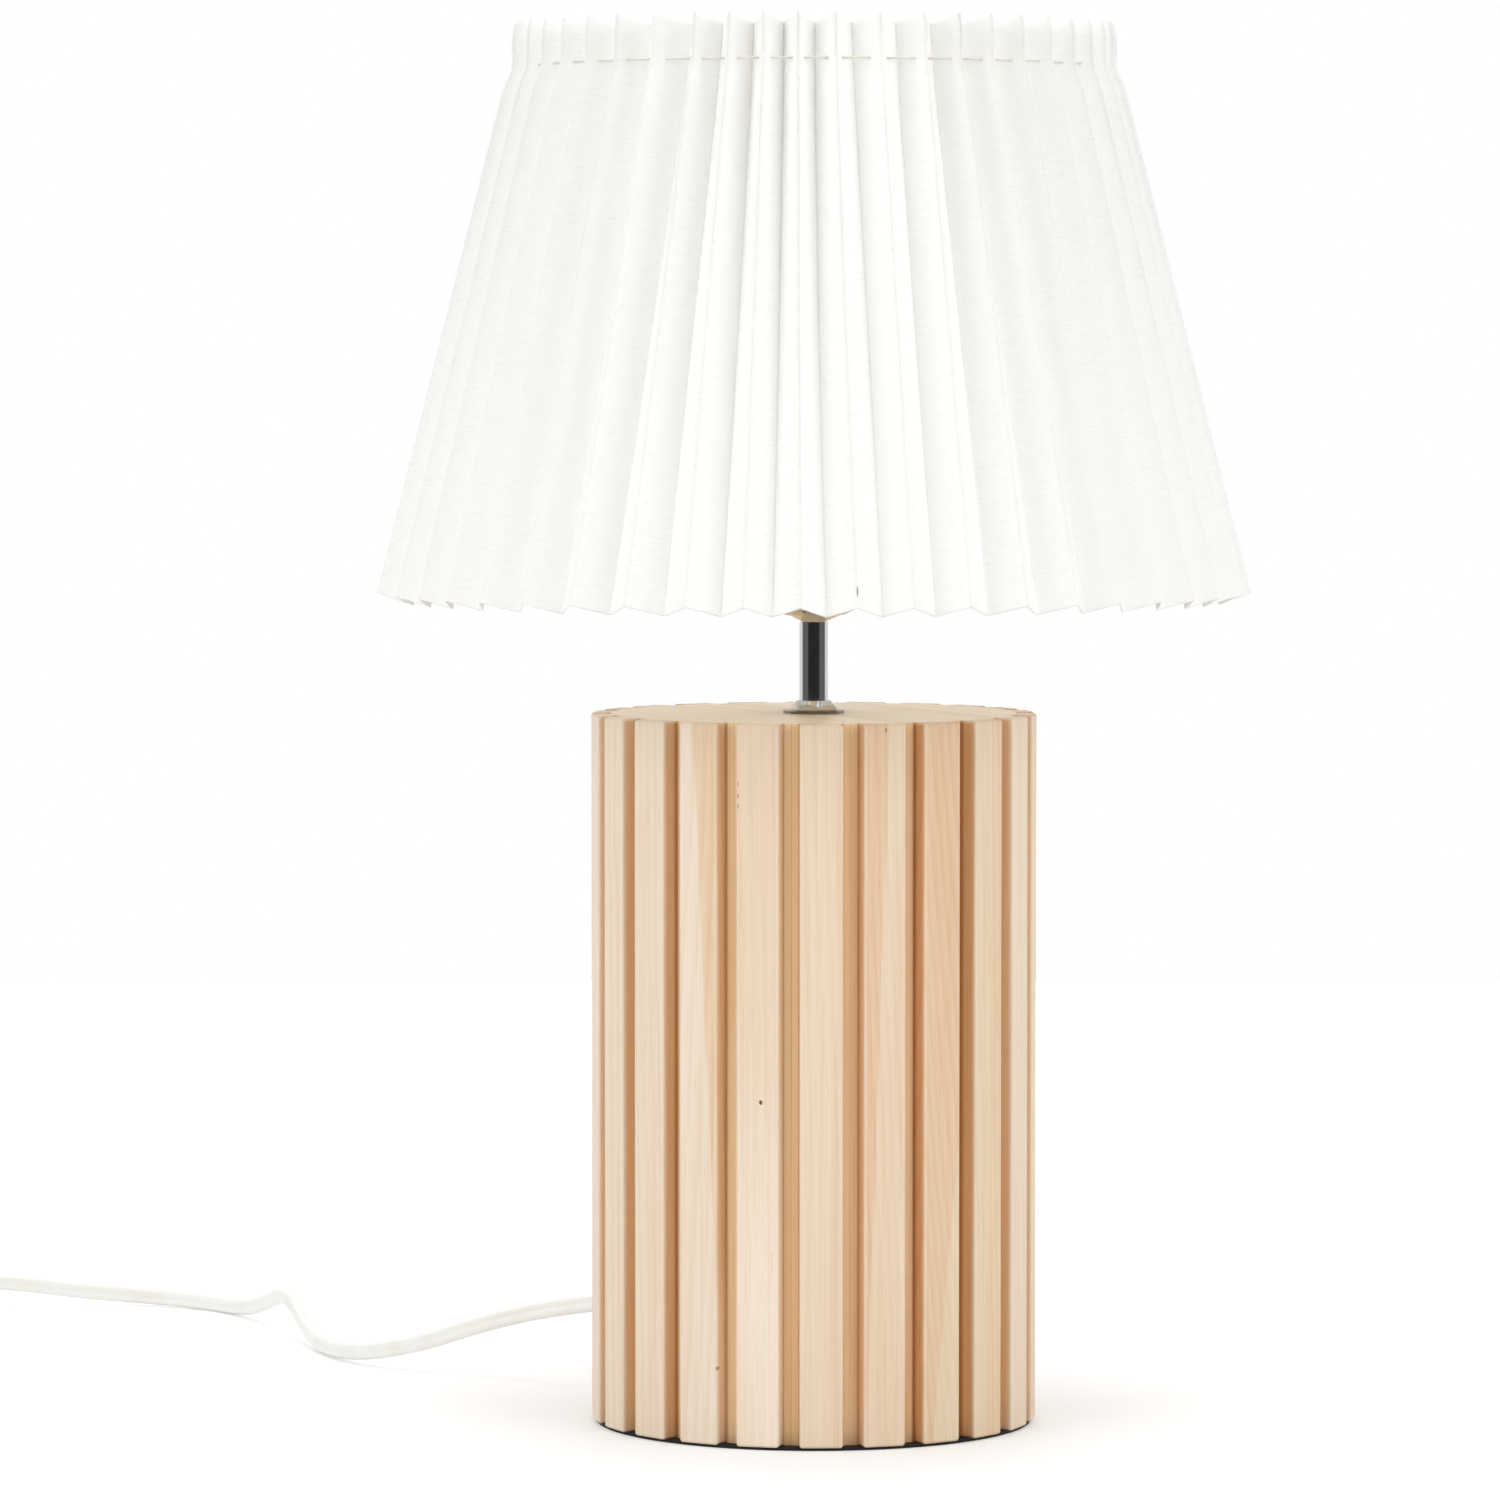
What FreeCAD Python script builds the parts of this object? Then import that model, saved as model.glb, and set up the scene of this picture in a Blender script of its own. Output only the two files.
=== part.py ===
"""Wooden table lamp: slatted drum base, chrome stem, E27 lampholder, pleated shade, twin cord.

Millimetres. +Z is up, the origin is under the middle of the foot pad, the front looks along -Y.
Angles round the lamp are in degrees from the front, positive towards +X.
"""
import FreeCAD, Part
import math
import os

Vector = FreeCAD.Vector
UP = Vector(0, 0, 1)
CENTRE = Vector(0, 0, 0)

# Base
base_height = 244.5
slat_count = 22
slat_phase = 2.0
slat_face_radius = 76.4
slat_width = 14.6
slat_thickness = 6.5
slat_edge_round = 1.0
slat_end_chamfer = 0.6
drum_wall = 9.0
top_disc_thickness = 15.0
top_disc_spigot = 6.0
bottom_disc_thickness = 12.0
pad_thickness = 1.0
pad_set_back = 1.2

# Stem
stem_radius = 5.0
stem_bore_radius = 3.9
stem_hole_clearance = 0.2
stem_washer_radius = 10.5
stem_washer_thickness = 1.0
nut_across_flats = 14.0
nut_height = 3.4
nut_chamfer = 0.6
nut_turn = 15.0
inner_washer_radius = 15.0
inner_washer_thickness = 2.0
stem_below_nut = 5.0
stem_rise = 31.5

# Lampholder
shell_radius = 14.1
lip_clearance = 1.3
lip_width = 2.5
cap_wall = 1.3
cap_rim_drop = 1.0
cap_shoulder_width = 8.5
cap_cone_rise = 2.1
cap_shoulder_rise = 13.8
boss_radius = 8.0
boss_height = 10.0
insert_height = 15.0
insert_clearance = 0.9
wire_recess_depth = 6.0
skirt_height = 32.0
skirt_wall = 1.6
flange_width = 4.0
flange_thickness = 3.0
shell_wall = 0.6
shell_height = 24.0
contact_radius = 4.5
contact_height = 2.5
terminal_spread = 12.0
terminal_head_radius = 2.4
terminal_head_height = 1.8
terminal_shank_radius = 1.5
terminal_shank_length = 8.0

# Bulb
bulb_seat_gap = 0.3
bulb_foot_radius = 4.0
bulb_foot_height = 2.0
bulb_cap_clearance = 0.4
bulb_cap_height = 26.0
bulb_cap_taper = 5.0
bulb_radius = 30.0
bulb_centre_rise = 47.0
bulb_neck_rise = 30.0
bulb_neck_hollow = 0.06

# Shade fitter and ring nut
seat_gap = 0.2
fitter_clearance = 0.3
fitter_margin = 1.5
fitter_thickness = 2.0
ring_nut_wall = 4.9
ring_nut_height = 7.0
ring_nut_clearance = 0.1
spoke_count = 3
spoke_radius = 1.75
spoke_weld = 0.6

# Shade
shade_hem_drop = 18.5
shade_height = 194.8
shade_hem_radius = 150.0
shade_top_radius = 101.0
pleat_count = 48
pleat_phase = 1.4
pleat_facet = 13.0
pleat_edge_shift = 1.6
fabric_thickness = 0.8
wire_clearance = 0.3
bottom_ring_rise = 7.0
bottom_ring_wire = 2.0
top_ring_drop = 14.0
top_ring_wire = 1.5
rib_count = 6
rib_wire = 1.25

# Cord
cord_diameter = 6.2
cord_clearance = 0.1
floor_gap = 0.1
cord_exit_z = 32.0
cord_groove = 13
bushing_wall = 1.8
bushing_flange_wall = 4.0
bushing_flange_thickness = 2.0
bushing_set_back = 1.4
exit_run = 17.0
inner_bend_radius = 40.0
bend_share = 0.45

# In-line switch
switch_length = 62.0
switch_width = 27.0
switch_base_height = 9.5
switch_cover_height = 10.0
switch_wall = 2.0
switch_corner = 7.0
switch_edge = 2.0
switch_entry_depth = 6.0
switch_boss_inset = 9.0
switch_boss_radius = 3.4
switch_boss_bite = 0.8
screw_radius = 1.3
screw_head_radius = 2.4
screw_head_height = 1.8
screw_bite = 6.0
rocker_length = 20.0
rocker_width = 9.0
rocker_gap = 1.0
rocker_tilt = 8.0
rocker_proud = 2.2
rocker_depth = 5.5
rocker_heel = 1.5
rocker_pin_radius = 1.5
rocker_pin_length = 1.6
rocker_pin_drop = 4.2
rocker_pin_clearance = 0.1
cheek_thickness = 2.2

# Put-away coil, its strap and the plug
coil_centre_x = -396.0
coil_centre_y = 205.0
coil_inner_radius = 20.0
coil_half_turns = 6
coil_turn_gap = 1.7
coil_layer_gap = 1.7
strap_width = 8.0
strap_thickness = 1.0
strap_gap = 0.5
strap_side_gap = 1.0
strap_corner = 2.0
plug_width = 35.0
plug_thickness = 13.7
plug_length = 36.0
plug_rear_width = 12.0
plug_edge = 2.5
plug_floor_gap = 0.35
relief_length = 24.0
relief_wall = 0.9
relief_root_radius = 5.5
plug_entry_depth = 10.0
pin_radius = 2.0
pin_length = 19.0
pin_spread = 19.0
pin_root = 8.0

# Worked out from the sizes above
slat_pitch = 360.0 / slat_count
drum_radius = slat_face_radius - slat_thickness
drum_bore_radius = drum_radius - drum_wall
drum_top = base_height - top_disc_thickness
spigot_z = drum_top - top_disc_spigot
stem_bottom = spigot_z - inner_washer_thickness - nut_height - stem_below_nut
holder_z = base_height + stem_rise
boss_top = holder_z + boss_height
insert_top = boss_top + insert_height
cap_top = insert_top - cap_rim_drop
flange_top = cap_top + flange_thickness
lip_radius = shell_radius + lip_clearance
skirt_bore_radius = lip_radius + lip_width
holder_radius = skirt_bore_radius + skirt_wall
flange_radius = holder_radius + flange_width
cap_cone_radius = holder_radius - cap_shoulder_width
bulb_foot_z = insert_top + contact_height + bulb_seat_gap
bulb_cap_z = bulb_foot_z + bulb_foot_height
bulb_cap_radius = shell_radius - shell_wall - bulb_cap_clearance
globe_z = bulb_cap_z + bulb_cap_height
fitter_z = flange_top + seat_gap
ring_nut_z = fitter_z + fitter_thickness + seat_gap
ring_nut_bore = holder_radius + ring_nut_clearance
ring_nut_radius = ring_nut_bore + ring_nut_wall
fitter_radius = ring_nut_radius + fitter_margin
shade_hem_z = fitter_z - shade_hem_drop
shade_top_z = shade_hem_z + shade_height
cord_radius = cord_diameter / 2
cord_floor_z = cord_radius + floor_gap
cord_angle = slat_phase + (cord_groove + 0.5) * slat_pitch
bushing_radius = cord_radius + cord_clearance + bushing_wall
bushing_end = slat_face_radius - bushing_set_back
switch_height = switch_base_height + switch_cover_height
coil_low_z = strap_thickness + strap_gap + cord_radius
coil_high_z = coil_low_z + cord_diameter + coil_layer_gap
coil_half_step = (cord_diameter + coil_turn_gap) / 2
plug_axis_z = plug_thickness / 2 + plug_floor_gap


def polar(radius, angle, z):
    """Point at a radius and height, at an angle from the front."""
    turn = math.radians(angle)
    return Vector(radius * math.sin(turn), -radius * math.cos(turn), z)


def turned(profile):
    """Solid of revolution about Z of a closed profile of (radius, z) points."""
    points = [Vector(r, 0, z) for r, z in profile]
    face = Part.Face(Part.makePolygon(points + points[:1]))
    return face.revolve(CENTRE, UP, 360)


def washer(inner, outer, z, height):
    """Flat ring about Z."""
    return turned([(inner, z), (outer, z), (outer, z + height), (inner, z + height)])


def rod(start, end, radius):
    """Round bar between two points."""
    axis = end - start
    return Part.makeCylinder(radius, axis.Length, start, axis)


def hex_nut(z, bore):
    """Hexagon nut about Z with turned corners."""
    corner = nut_across_flats / 2 / math.cos(math.pi / 6)
    points = [polar(corner, 60 * k + nut_turn, z) for k in range(7)]
    prism = Part.Face(Part.makePolygon(points)).extrude(UP * nut_height)
    flat = nut_across_flats / 2
    top = z + nut_height
    turning = turned([
        (0, z), (flat, z), (corner, z + nut_chamfer),
        (corner, top - nut_chamfer), (flat, top), (0, top),
    ])
    return prism.common(turning).cut(Part.makeCylinder(bore, nut_height, Vector(0, 0, z)))


def rounded_block(length, width, z, height, corner):
    """Block along X with round upright corners, centred on the origin in plan."""
    block = Part.makeBox(length, width, height, Vector(-length / 2, -width / 2, z))
    upright = [e for e in block.Edges if abs(e.tangentAt(e.FirstParameter).z) > 0.9]
    return block.makeFillet(corner, upright)


def route_wire(points, name):
    """Straight runs joined by the largest tangent arcs that the runs allow; prints the radii."""
    edges = []
    radii = []
    start = points[0]
    for before, corner, after in zip(points, points[1:], points[2:]):
        back = before - corner
        onward = after - corner
        half_turn = (math.pi - back.getAngle(onward)) / 2
        reach = bend_share * min(back.Length, onward.Length)
        radii.append(reach / math.tan(half_turn))
        back.normalize()
        onward.normalize()
        arc_in = corner + back * reach
        arc_out = corner + onward * reach
        inward = back + onward
        inward.normalize()
        middle = corner + inward * (radii[-1] / math.cos(half_turn) - radii[-1])
        edges.append(Part.LineSegment(start, arc_in).toShape())
        edges.append(Part.Arc(arc_in, middle, arc_out).toShape())
        start = arc_out
    edges.append(Part.LineSegment(start, points[-1]).toShape())
    print(name, "radii", [round(r, 1) for r in radii])
    return Part.Wire(edges)


def tube_along(wire, name):
    """Round tube of the cord's diameter along a wire; prints its volume against section times length."""
    first = wire.Edges[0]
    start = first.valueAt(first.FirstParameter)
    ahead = first.tangentAt(first.FirstParameter)
    ring = Part.Wire(Part.makeCircle(cord_radius, start, ahead))
    solid = wire.makePipeShell([ring], True, False)
    ideal = math.pi * cord_radius ** 2 * wire.Length
    print(name, "length", round(wire.Length, 1), "volume ratio", round(solid.Volume / ideal, 4))
    return solid


def cord_bore():
    """Cylinder that the bushing fills, out through the core and the slats beside its groove."""
    inside = polar(0, cord_angle, cord_exit_z)
    outside = polar(2 * slat_face_radius, cord_angle, cord_exit_z)
    return rod(inside, outside, bushing_radius)


def make_slat(index):
    """One upright slat: flat face, rounded long edges, eased ends, hollowed to sit on the drum."""
    half = slat_width / 2
    length = base_height - pad_thickness
    corner = Vector(-half, -slat_face_radius, pad_thickness)
    block = Part.makeBox(slat_width, slat_face_radius, length, corner)
    long_edges = [
        e for e in block.Edges
        if abs(e.tangentAt(e.FirstParameter).z) > 0.9 and e.CenterOfMass.y < -slat_face_radius / 2
    ]
    block = block.makeFillet(slat_edge_round, long_edges)
    end_edges = [
        e for e in block.Edges
        if abs(e.CenterOfMass.y + slat_face_radius) < 0.001 and abs(e.tangentAt(e.FirstParameter).x) > 0.9
    ]
    block = block.makeChamfer(slat_end_chamfer, end_edges)
    block = block.cut(Part.makeCylinder(drum_radius, base_height + pad_thickness))
    block.rotate(CENTRE, UP, slat_phase + index * slat_pitch)
    if index in (cord_groove, cord_groove + 1):
        block = block.cut(cord_bore())
    return block


def base_parts():
    """Slats, drum, discs and foot pad."""
    parts = {}
    for index in range(slat_count):
        parts["slat_%02d" % (index + 1)] = make_slat(index)
    drum = washer(drum_bore_radius, drum_radius, pad_thickness, drum_top - pad_thickness)
    parts["core_drum"] = drum.cut(cord_bore())
    hole = stem_radius + stem_hole_clearance
    parts["top_disc"] = turned([
        (hole, spigot_z), (drum_bore_radius, spigot_z), (drum_bore_radius, drum_top),
        (drum_radius, drum_top), (drum_radius, base_height), (hole, base_height),
    ])
    pad_top = Vector(0, 0, pad_thickness)
    parts["bottom_disc"] = Part.makeCylinder(drum_bore_radius, bottom_disc_thickness, pad_top)
    parts["foot_pad"] = Part.makeCylinder(slat_face_radius - pad_set_back, pad_thickness)
    return parts


def stem_parts():
    """Tube through the top disc, clamped between washers and nuts."""
    clear = stem_radius + stem_hole_clearance
    inner_washer_z = spigot_z - inner_washer_thickness
    return {
        "stem_tube": washer(stem_bore_radius, stem_radius, stem_bottom, boss_top - stem_bottom),
        "stem_washer": washer(clear, stem_washer_radius, base_height, stem_washer_thickness),
        "stem_nut": hex_nut(base_height + stem_washer_thickness, stem_radius),
        "inner_washer": washer(clear, inner_washer_radius, inner_washer_z, inner_washer_thickness),
        "inner_nut": hex_nut(inner_washer_z - nut_height, stem_radius),
    }


def make_holder_cap():
    """Spun cap: shallow cone, rounded shoulder and upright wall, with a threaded boss for the stem."""
    cone_z = holder_z + cap_cone_rise
    shoulder_z = holder_z + cap_shoulder_rise
    inner = holder_radius - cap_wall
    cone_run = cap_cone_radius - stem_radius
    slope = math.atan2(cap_cone_rise, cone_run)
    lift = cap_wall / math.cos(slope)
    corner = Vector(holder_radius, 0, cone_z + (holder_radius - cap_cone_radius) * math.tan(slope))
    low = Vector(cap_cone_radius, 0, cone_z)
    high = Vector(holder_radius, 0, shoulder_z)
    middle = (low + high) * 0.25 + corner * 0.5
    boss_root_z = holder_z + (boss_radius - stem_radius) * math.tan(slope) + lift
    shoulder = Part.Arc(low, middle, high).toShape()
    circle = shoulder.Curve
    share = 1 - cap_wall / circle.Radius
    hollow = [circle.Center + (point - circle.Center) * share for point in (high, middle, low)]
    wall = [high, Vector(holder_radius, 0, cap_top), Vector(inner, 0, cap_top), hollow[0]]
    boss = [
        hollow[-1],
        Vector(boss_radius, 0, boss_root_z),
        Vector(boss_radius, 0, boss_top),
        Vector(stem_radius, 0, boss_top),
        Vector(stem_radius, 0, holder_z),
        low,
    ]
    edges = [shoulder]
    edges += [Part.LineSegment(a, b).toShape() for a, b in zip(wall, wall[1:])]
    edges.append(Part.Arc(*hollow).toShape())
    edges += [Part.LineSegment(a, b).toShape() for a, b in zip(boss, boss[1:])]
    return Part.Face(Part.Wire(edges)).revolve(CENTRE, UP, 360)


def terminal_screws():
    """Two terminal screws under the insert, heads down."""
    screws = []
    for side in (-1, 1):
        foot = Vector(side * terminal_spread, 0, boss_top)
        head_foot = foot - UP * terminal_head_height
        head = Part.makeCylinder(terminal_head_radius, terminal_head_height, head_foot)
        shank = Part.makeCylinder(terminal_shank_radius, terminal_shank_length, foot)
        screws.append(head.fuse(shank).removeSplitter())
    return Part.makeCompound(screws)


def holder_parts():
    """E27 lampholder from its cap to the skirt that carries the shade."""
    insert_foot = Vector(0, 0, boss_top)
    insert = Part.makeCylinder(skirt_bore_radius - insert_clearance, insert_height, insert_foot)
    insert = insert.cut(Part.makeCylinder(stem_bore_radius, wire_recess_depth, insert_foot))
    for side in (-1, 1):
        foot = Vector(side * terminal_spread, 0, boss_top)
        insert = insert.cut(Part.makeCylinder(terminal_shank_radius, terminal_shank_length, foot))
    skirt_top = cap_top + skirt_height
    skirt = turned([
        (skirt_bore_radius, cap_top), (flange_radius, cap_top), (flange_radius, flange_top),
        (holder_radius, flange_top), (holder_radius, skirt_top), (skirt_bore_radius, skirt_top),
        (skirt_bore_radius, insert_top + flange_thickness), (lip_radius, insert_top + flange_thickness),
        (lip_radius, insert_top), (skirt_bore_radius, insert_top),
    ])
    return {
        "holder_cap": make_holder_cap(),
        "holder_insert": insert,
        "terminal_screws": terminal_screws(),
        "thread_shell": washer(shell_radius - shell_wall, shell_radius, insert_top, shell_height),
        "centre_contact": Part.makeCylinder(contact_radius, contact_height, Vector(0, 0, insert_top)),
        "holder_skirt": skirt,
        "shade_ring_nut": washer(ring_nut_bore, ring_nut_radius, ring_nut_z, ring_nut_height),
    }


def make_globe():
    """Bulb's globe: a sphere drawn in to the cap by one hollow curve."""
    centre_z = globe_z + bulb_centre_rise
    join_z = globe_z + bulb_neck_rise
    join_radius = math.sqrt(bulb_radius ** 2 - (centre_z - join_z) ** 2)
    foot = Vector(bulb_cap_radius, 0, globe_z)
    join = Vector(join_radius, 0, join_z)
    chord = join - foot
    hollow = Vector(chord.z, 0, -chord.x) * bulb_neck_hollow
    top = Vector(0, 0, centre_z + bulb_radius)
    low = Vector(0, 0, globe_z)
    outline = [
        Part.LineSegment(low, foot).toShape(),
        Part.Arc(foot, foot + chord * 0.5 - hollow, join).toShape(),
        Part.Arc(join, Vector(bulb_radius, 0, centre_z), top).toShape(),
        Part.LineSegment(top, low).toShape(),
    ]
    return Part.Face(Part.Wire(outline)).revolve(CENTRE, UP, 360)


def bulb_parts():
    """Bulb with an E27 cap, screwed down on the centre contact."""
    return {
        "bulb_globe": make_globe(),
        "bulb_cap": turned([
            (0, bulb_cap_z), (bulb_foot_radius, bulb_cap_z), (bulb_cap_radius, bulb_cap_z + bulb_cap_taper),
            (bulb_cap_radius, globe_z), (0, globe_z),
        ]),
        "bulb_contact": Part.makeCylinder(bulb_foot_radius, bulb_foot_height, Vector(0, 0, bulb_foot_z)),
    }


def fold_depth(outer_radius):
    """Radial depth of a pleat whose facets have a fixed width."""
    half_period = math.pi * outer_radius / pleat_count
    return math.sqrt(pleat_facet ** 2 - half_period ** 2)


def fabric_shift(outer_radius):
    """Radial distance between the fabric's two sides."""
    half_period = math.pi * outer_radius / pleat_count
    return fabric_thickness * pleat_facet / half_period


def fold_inside(z):
    """Radius of the inside of the inner folds at a height."""
    hem = shade_hem_radius - fold_depth(shade_hem_radius) - fabric_shift(shade_hem_radius)
    top = shade_top_radius - fold_depth(shade_top_radius) - fabric_shift(shade_top_radius)
    share = (z + pleat_edge_shift - shade_hem_z) / (shade_top_z - shade_hem_z)
    return hem + (top - hem) * share


def pleat_loop(radius, z, inside):
    """Zigzag loop of fold points at one edge of the shade, outer folds a little higher than inner ones."""
    points = []
    shift = fabric_shift(radius) if inside else 0.0
    for k in range(2 * pleat_count):
        angle = pleat_phase + k * 180.0 / pleat_count
        inner_fold = k % 2 == 0
        fold_radius = radius - fold_depth(radius) if inner_fold else radius
        rise = -pleat_edge_shift if inner_fold else pleat_edge_shift
        points.append(polar(fold_radius - shift, angle, z + rise))
    return points + points[:1]


def ruled_band(low, high):
    """Ruled faces between two loops of fold points."""
    faces = []
    for k in range(len(low) - 1):
        low_edge = Part.makeLine(low[k], low[k + 1])
        high_edge = Part.makeLine(high[k], high[k + 1])
        faces.append(Part.makeRuledSurface(low_edge, high_edge))
    return faces


def make_fabric():
    """Accordion-pleated cone of fabric as one closed solid."""
    hem_out = pleat_loop(shade_hem_radius, shade_hem_z, False)
    hem_in = pleat_loop(shade_hem_radius, shade_hem_z, True)
    top_out = pleat_loop(shade_top_radius, shade_top_z, False)
    top_in = pleat_loop(shade_top_radius, shade_top_z, True)
    faces = ruled_band(hem_out, top_out) + ruled_band(hem_in, top_in)
    faces += ruled_band(hem_out, hem_in) + ruled_band(top_out, top_in)
    shell = Part.makeShell(faces)
    shell.sewShape()
    solid = Part.makeSolid(shell)
    if solid.Volume < 0:
        solid.reverse()
    print("shade closed", solid.Shells[0].isClosed(), "volume", round(solid.Volume))
    return solid


def shade_parts():
    """Pleated fabric on a wire frame with a fitter ring."""
    low_z = shade_hem_z + bottom_ring_rise
    high_z = shade_top_z - top_ring_drop
    slope = math.atan2(shade_hem_radius - shade_top_radius, shade_top_z - shade_hem_z)
    low_radius = fold_inside(low_z) - (wire_clearance + bottom_ring_wire) / math.cos(slope)
    high_radius = fold_inside(high_z) - (wire_clearance + top_ring_wire) / math.cos(slope)
    low_ring = Part.makeTorus(low_radius, bottom_ring_wire, Vector(0, 0, low_z))
    high_ring = Part.makeTorus(high_radius, top_ring_wire, Vector(0, 0, high_z))
    fitter = washer(holder_radius + fitter_clearance, fitter_radius, fitter_z, fitter_thickness)
    ribs = []
    for k in range(rib_count):
        angle = (k + 0.5) * 360.0 / rib_count
        rib = rod(polar(low_radius, angle, low_z), polar(high_radius, angle, high_z), rib_wire)
        ribs.append(rib.cut(low_ring).cut(high_ring))
    spokes = []
    spoke_start = fitter_radius - spoke_weld
    spoke_z = fitter_z + fitter_thickness / 2
    for k in range(spoke_count):
        angle = 180.0 + k * 360.0 / spoke_count
        spoke = rod(polar(spoke_start, angle, spoke_z), polar(low_radius, angle, low_z), spoke_radius)
        spokes.append(spoke.cut(fitter).cut(low_ring))
    return {
        "shade_fabric": make_fabric(),
        "shade_bottom_ring": low_ring,
        "shade_top_ring": high_ring,
        "shade_ribs": Part.makeCompound(ribs),
        "fitter_ring": fitter,
        "fitter_spokes": Part.makeCompound(spokes),
    }


def outlet_parts():
    """Bushing in the drum and the cord from it up through the stem."""
    start = polar(drum_bore_radius - bushing_flange_thickness, cord_angle, cord_exit_z)
    end = polar(bushing_end, cord_angle, cord_exit_z)
    flange = rod(start, polar(drum_radius, cord_angle, cord_exit_z), bushing_radius + bushing_flange_wall)
    flange = flange.common(Part.makeCylinder(drum_bore_radius, base_height))
    sleeve = rod(start, end, bushing_radius).fuse(flange).removeSplitter()
    bushing = sleeve.cut(rod(polar(0, cord_angle, cord_exit_z), end, cord_radius + cord_clearance))
    bend_start = polar(inner_bend_radius, cord_angle, cord_exit_z)
    bend_end = Vector(0, 0, cord_exit_z + inner_bend_radius)
    share = 1 - math.sqrt(0.5)
    bend_middle = polar(inner_bend_radius * share, cord_angle, cord_exit_z + inner_bend_radius * share)
    wire = Part.Wire([
        Part.LineSegment(end, bend_start).toShape(),
        Part.Arc(bend_start, bend_middle, bend_end).toShape(),
        Part.LineSegment(bend_end, Vector(0, 0, boss_top + wire_recess_depth)).toShape(),
    ])
    return {"cord_bushing": bushing, "inner_cord": tube_along(wire, "inner_cord")}


def run_points():
    """Free cord from the bushing, over its hump on the floor, to the switch."""
    start = polar(bushing_end, cord_angle, cord_exit_z)
    out = polar(bushing_end + exit_run, cord_angle, cord_exit_z)
    entry_z = switch_base_height
    return [
        start,
        out,
        Vector(-90, 84, 27.5),
        Vector(-117, 99, 20),
        Vector(-142, 113, 10),
        Vector(-164, 128, cord_floor_z + 1.4),
        Vector(-178, 150, cord_floor_z),
        Vector(-187, 179, cord_floor_z + 1.0),
        Vector(-197, 209, 16.5),
        Vector(-206.5, 236, 9),
        Vector(-216.5, 259, cord_floor_z),
        Vector(-233, 280, cord_floor_z),
        Vector(-257, 291.5, cord_floor_z + 0.6),
        Vector(-284, 294.5, 5.5),
        Vector(-311, 291, entry_z),
        Vector(-336, 288, entry_z),
    ]


def heading(points):
    """Plan direction in degrees of a route's last run."""
    step = points[-1] - points[-2]
    return math.degrees(math.atan2(step.y, step.x))


def rocker_shape():
    """Rocker in the off position: two flat wings over a pivot, with a pin at each side."""
    half = rocker_length / 2
    pivot_z = switch_height - rocker_pin_drop
    crest = switch_height + rocker_proud
    wing = crest - half * math.tan(math.radians(rocker_tilt))
    foot = switch_height - rocker_depth
    heel = foot + rocker_heel
    profile = [
        Vector(-half, 0, heel), Vector(-half, 0, crest), Vector(0, 0, wing + rocker_proud / 2),
        Vector(half, 0, crest), Vector(half, 0, heel), Vector(half / 3, 0, foot), Vector(-half / 3, 0, foot),
    ]
    start = Vector(0, -rocker_width / 2, 0)
    face = Part.Face(Part.makePolygon([p + start for p in profile + profile[:1]]))
    body = face.extrude(Vector(0, rocker_width, 0))
    pin_half = rocker_width / 2 + rocker_pin_length
    pin = rod(Vector(0, -pin_half, pivot_z), Vector(0, pin_half, pivot_z), rocker_pin_radius)
    rocker = body.fuse(pin).removeSplitter()
    rocker.rotate(Vector(0, 0, pivot_z), Vector(0, 1, 0), rocker_tilt)
    return rocker


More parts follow.
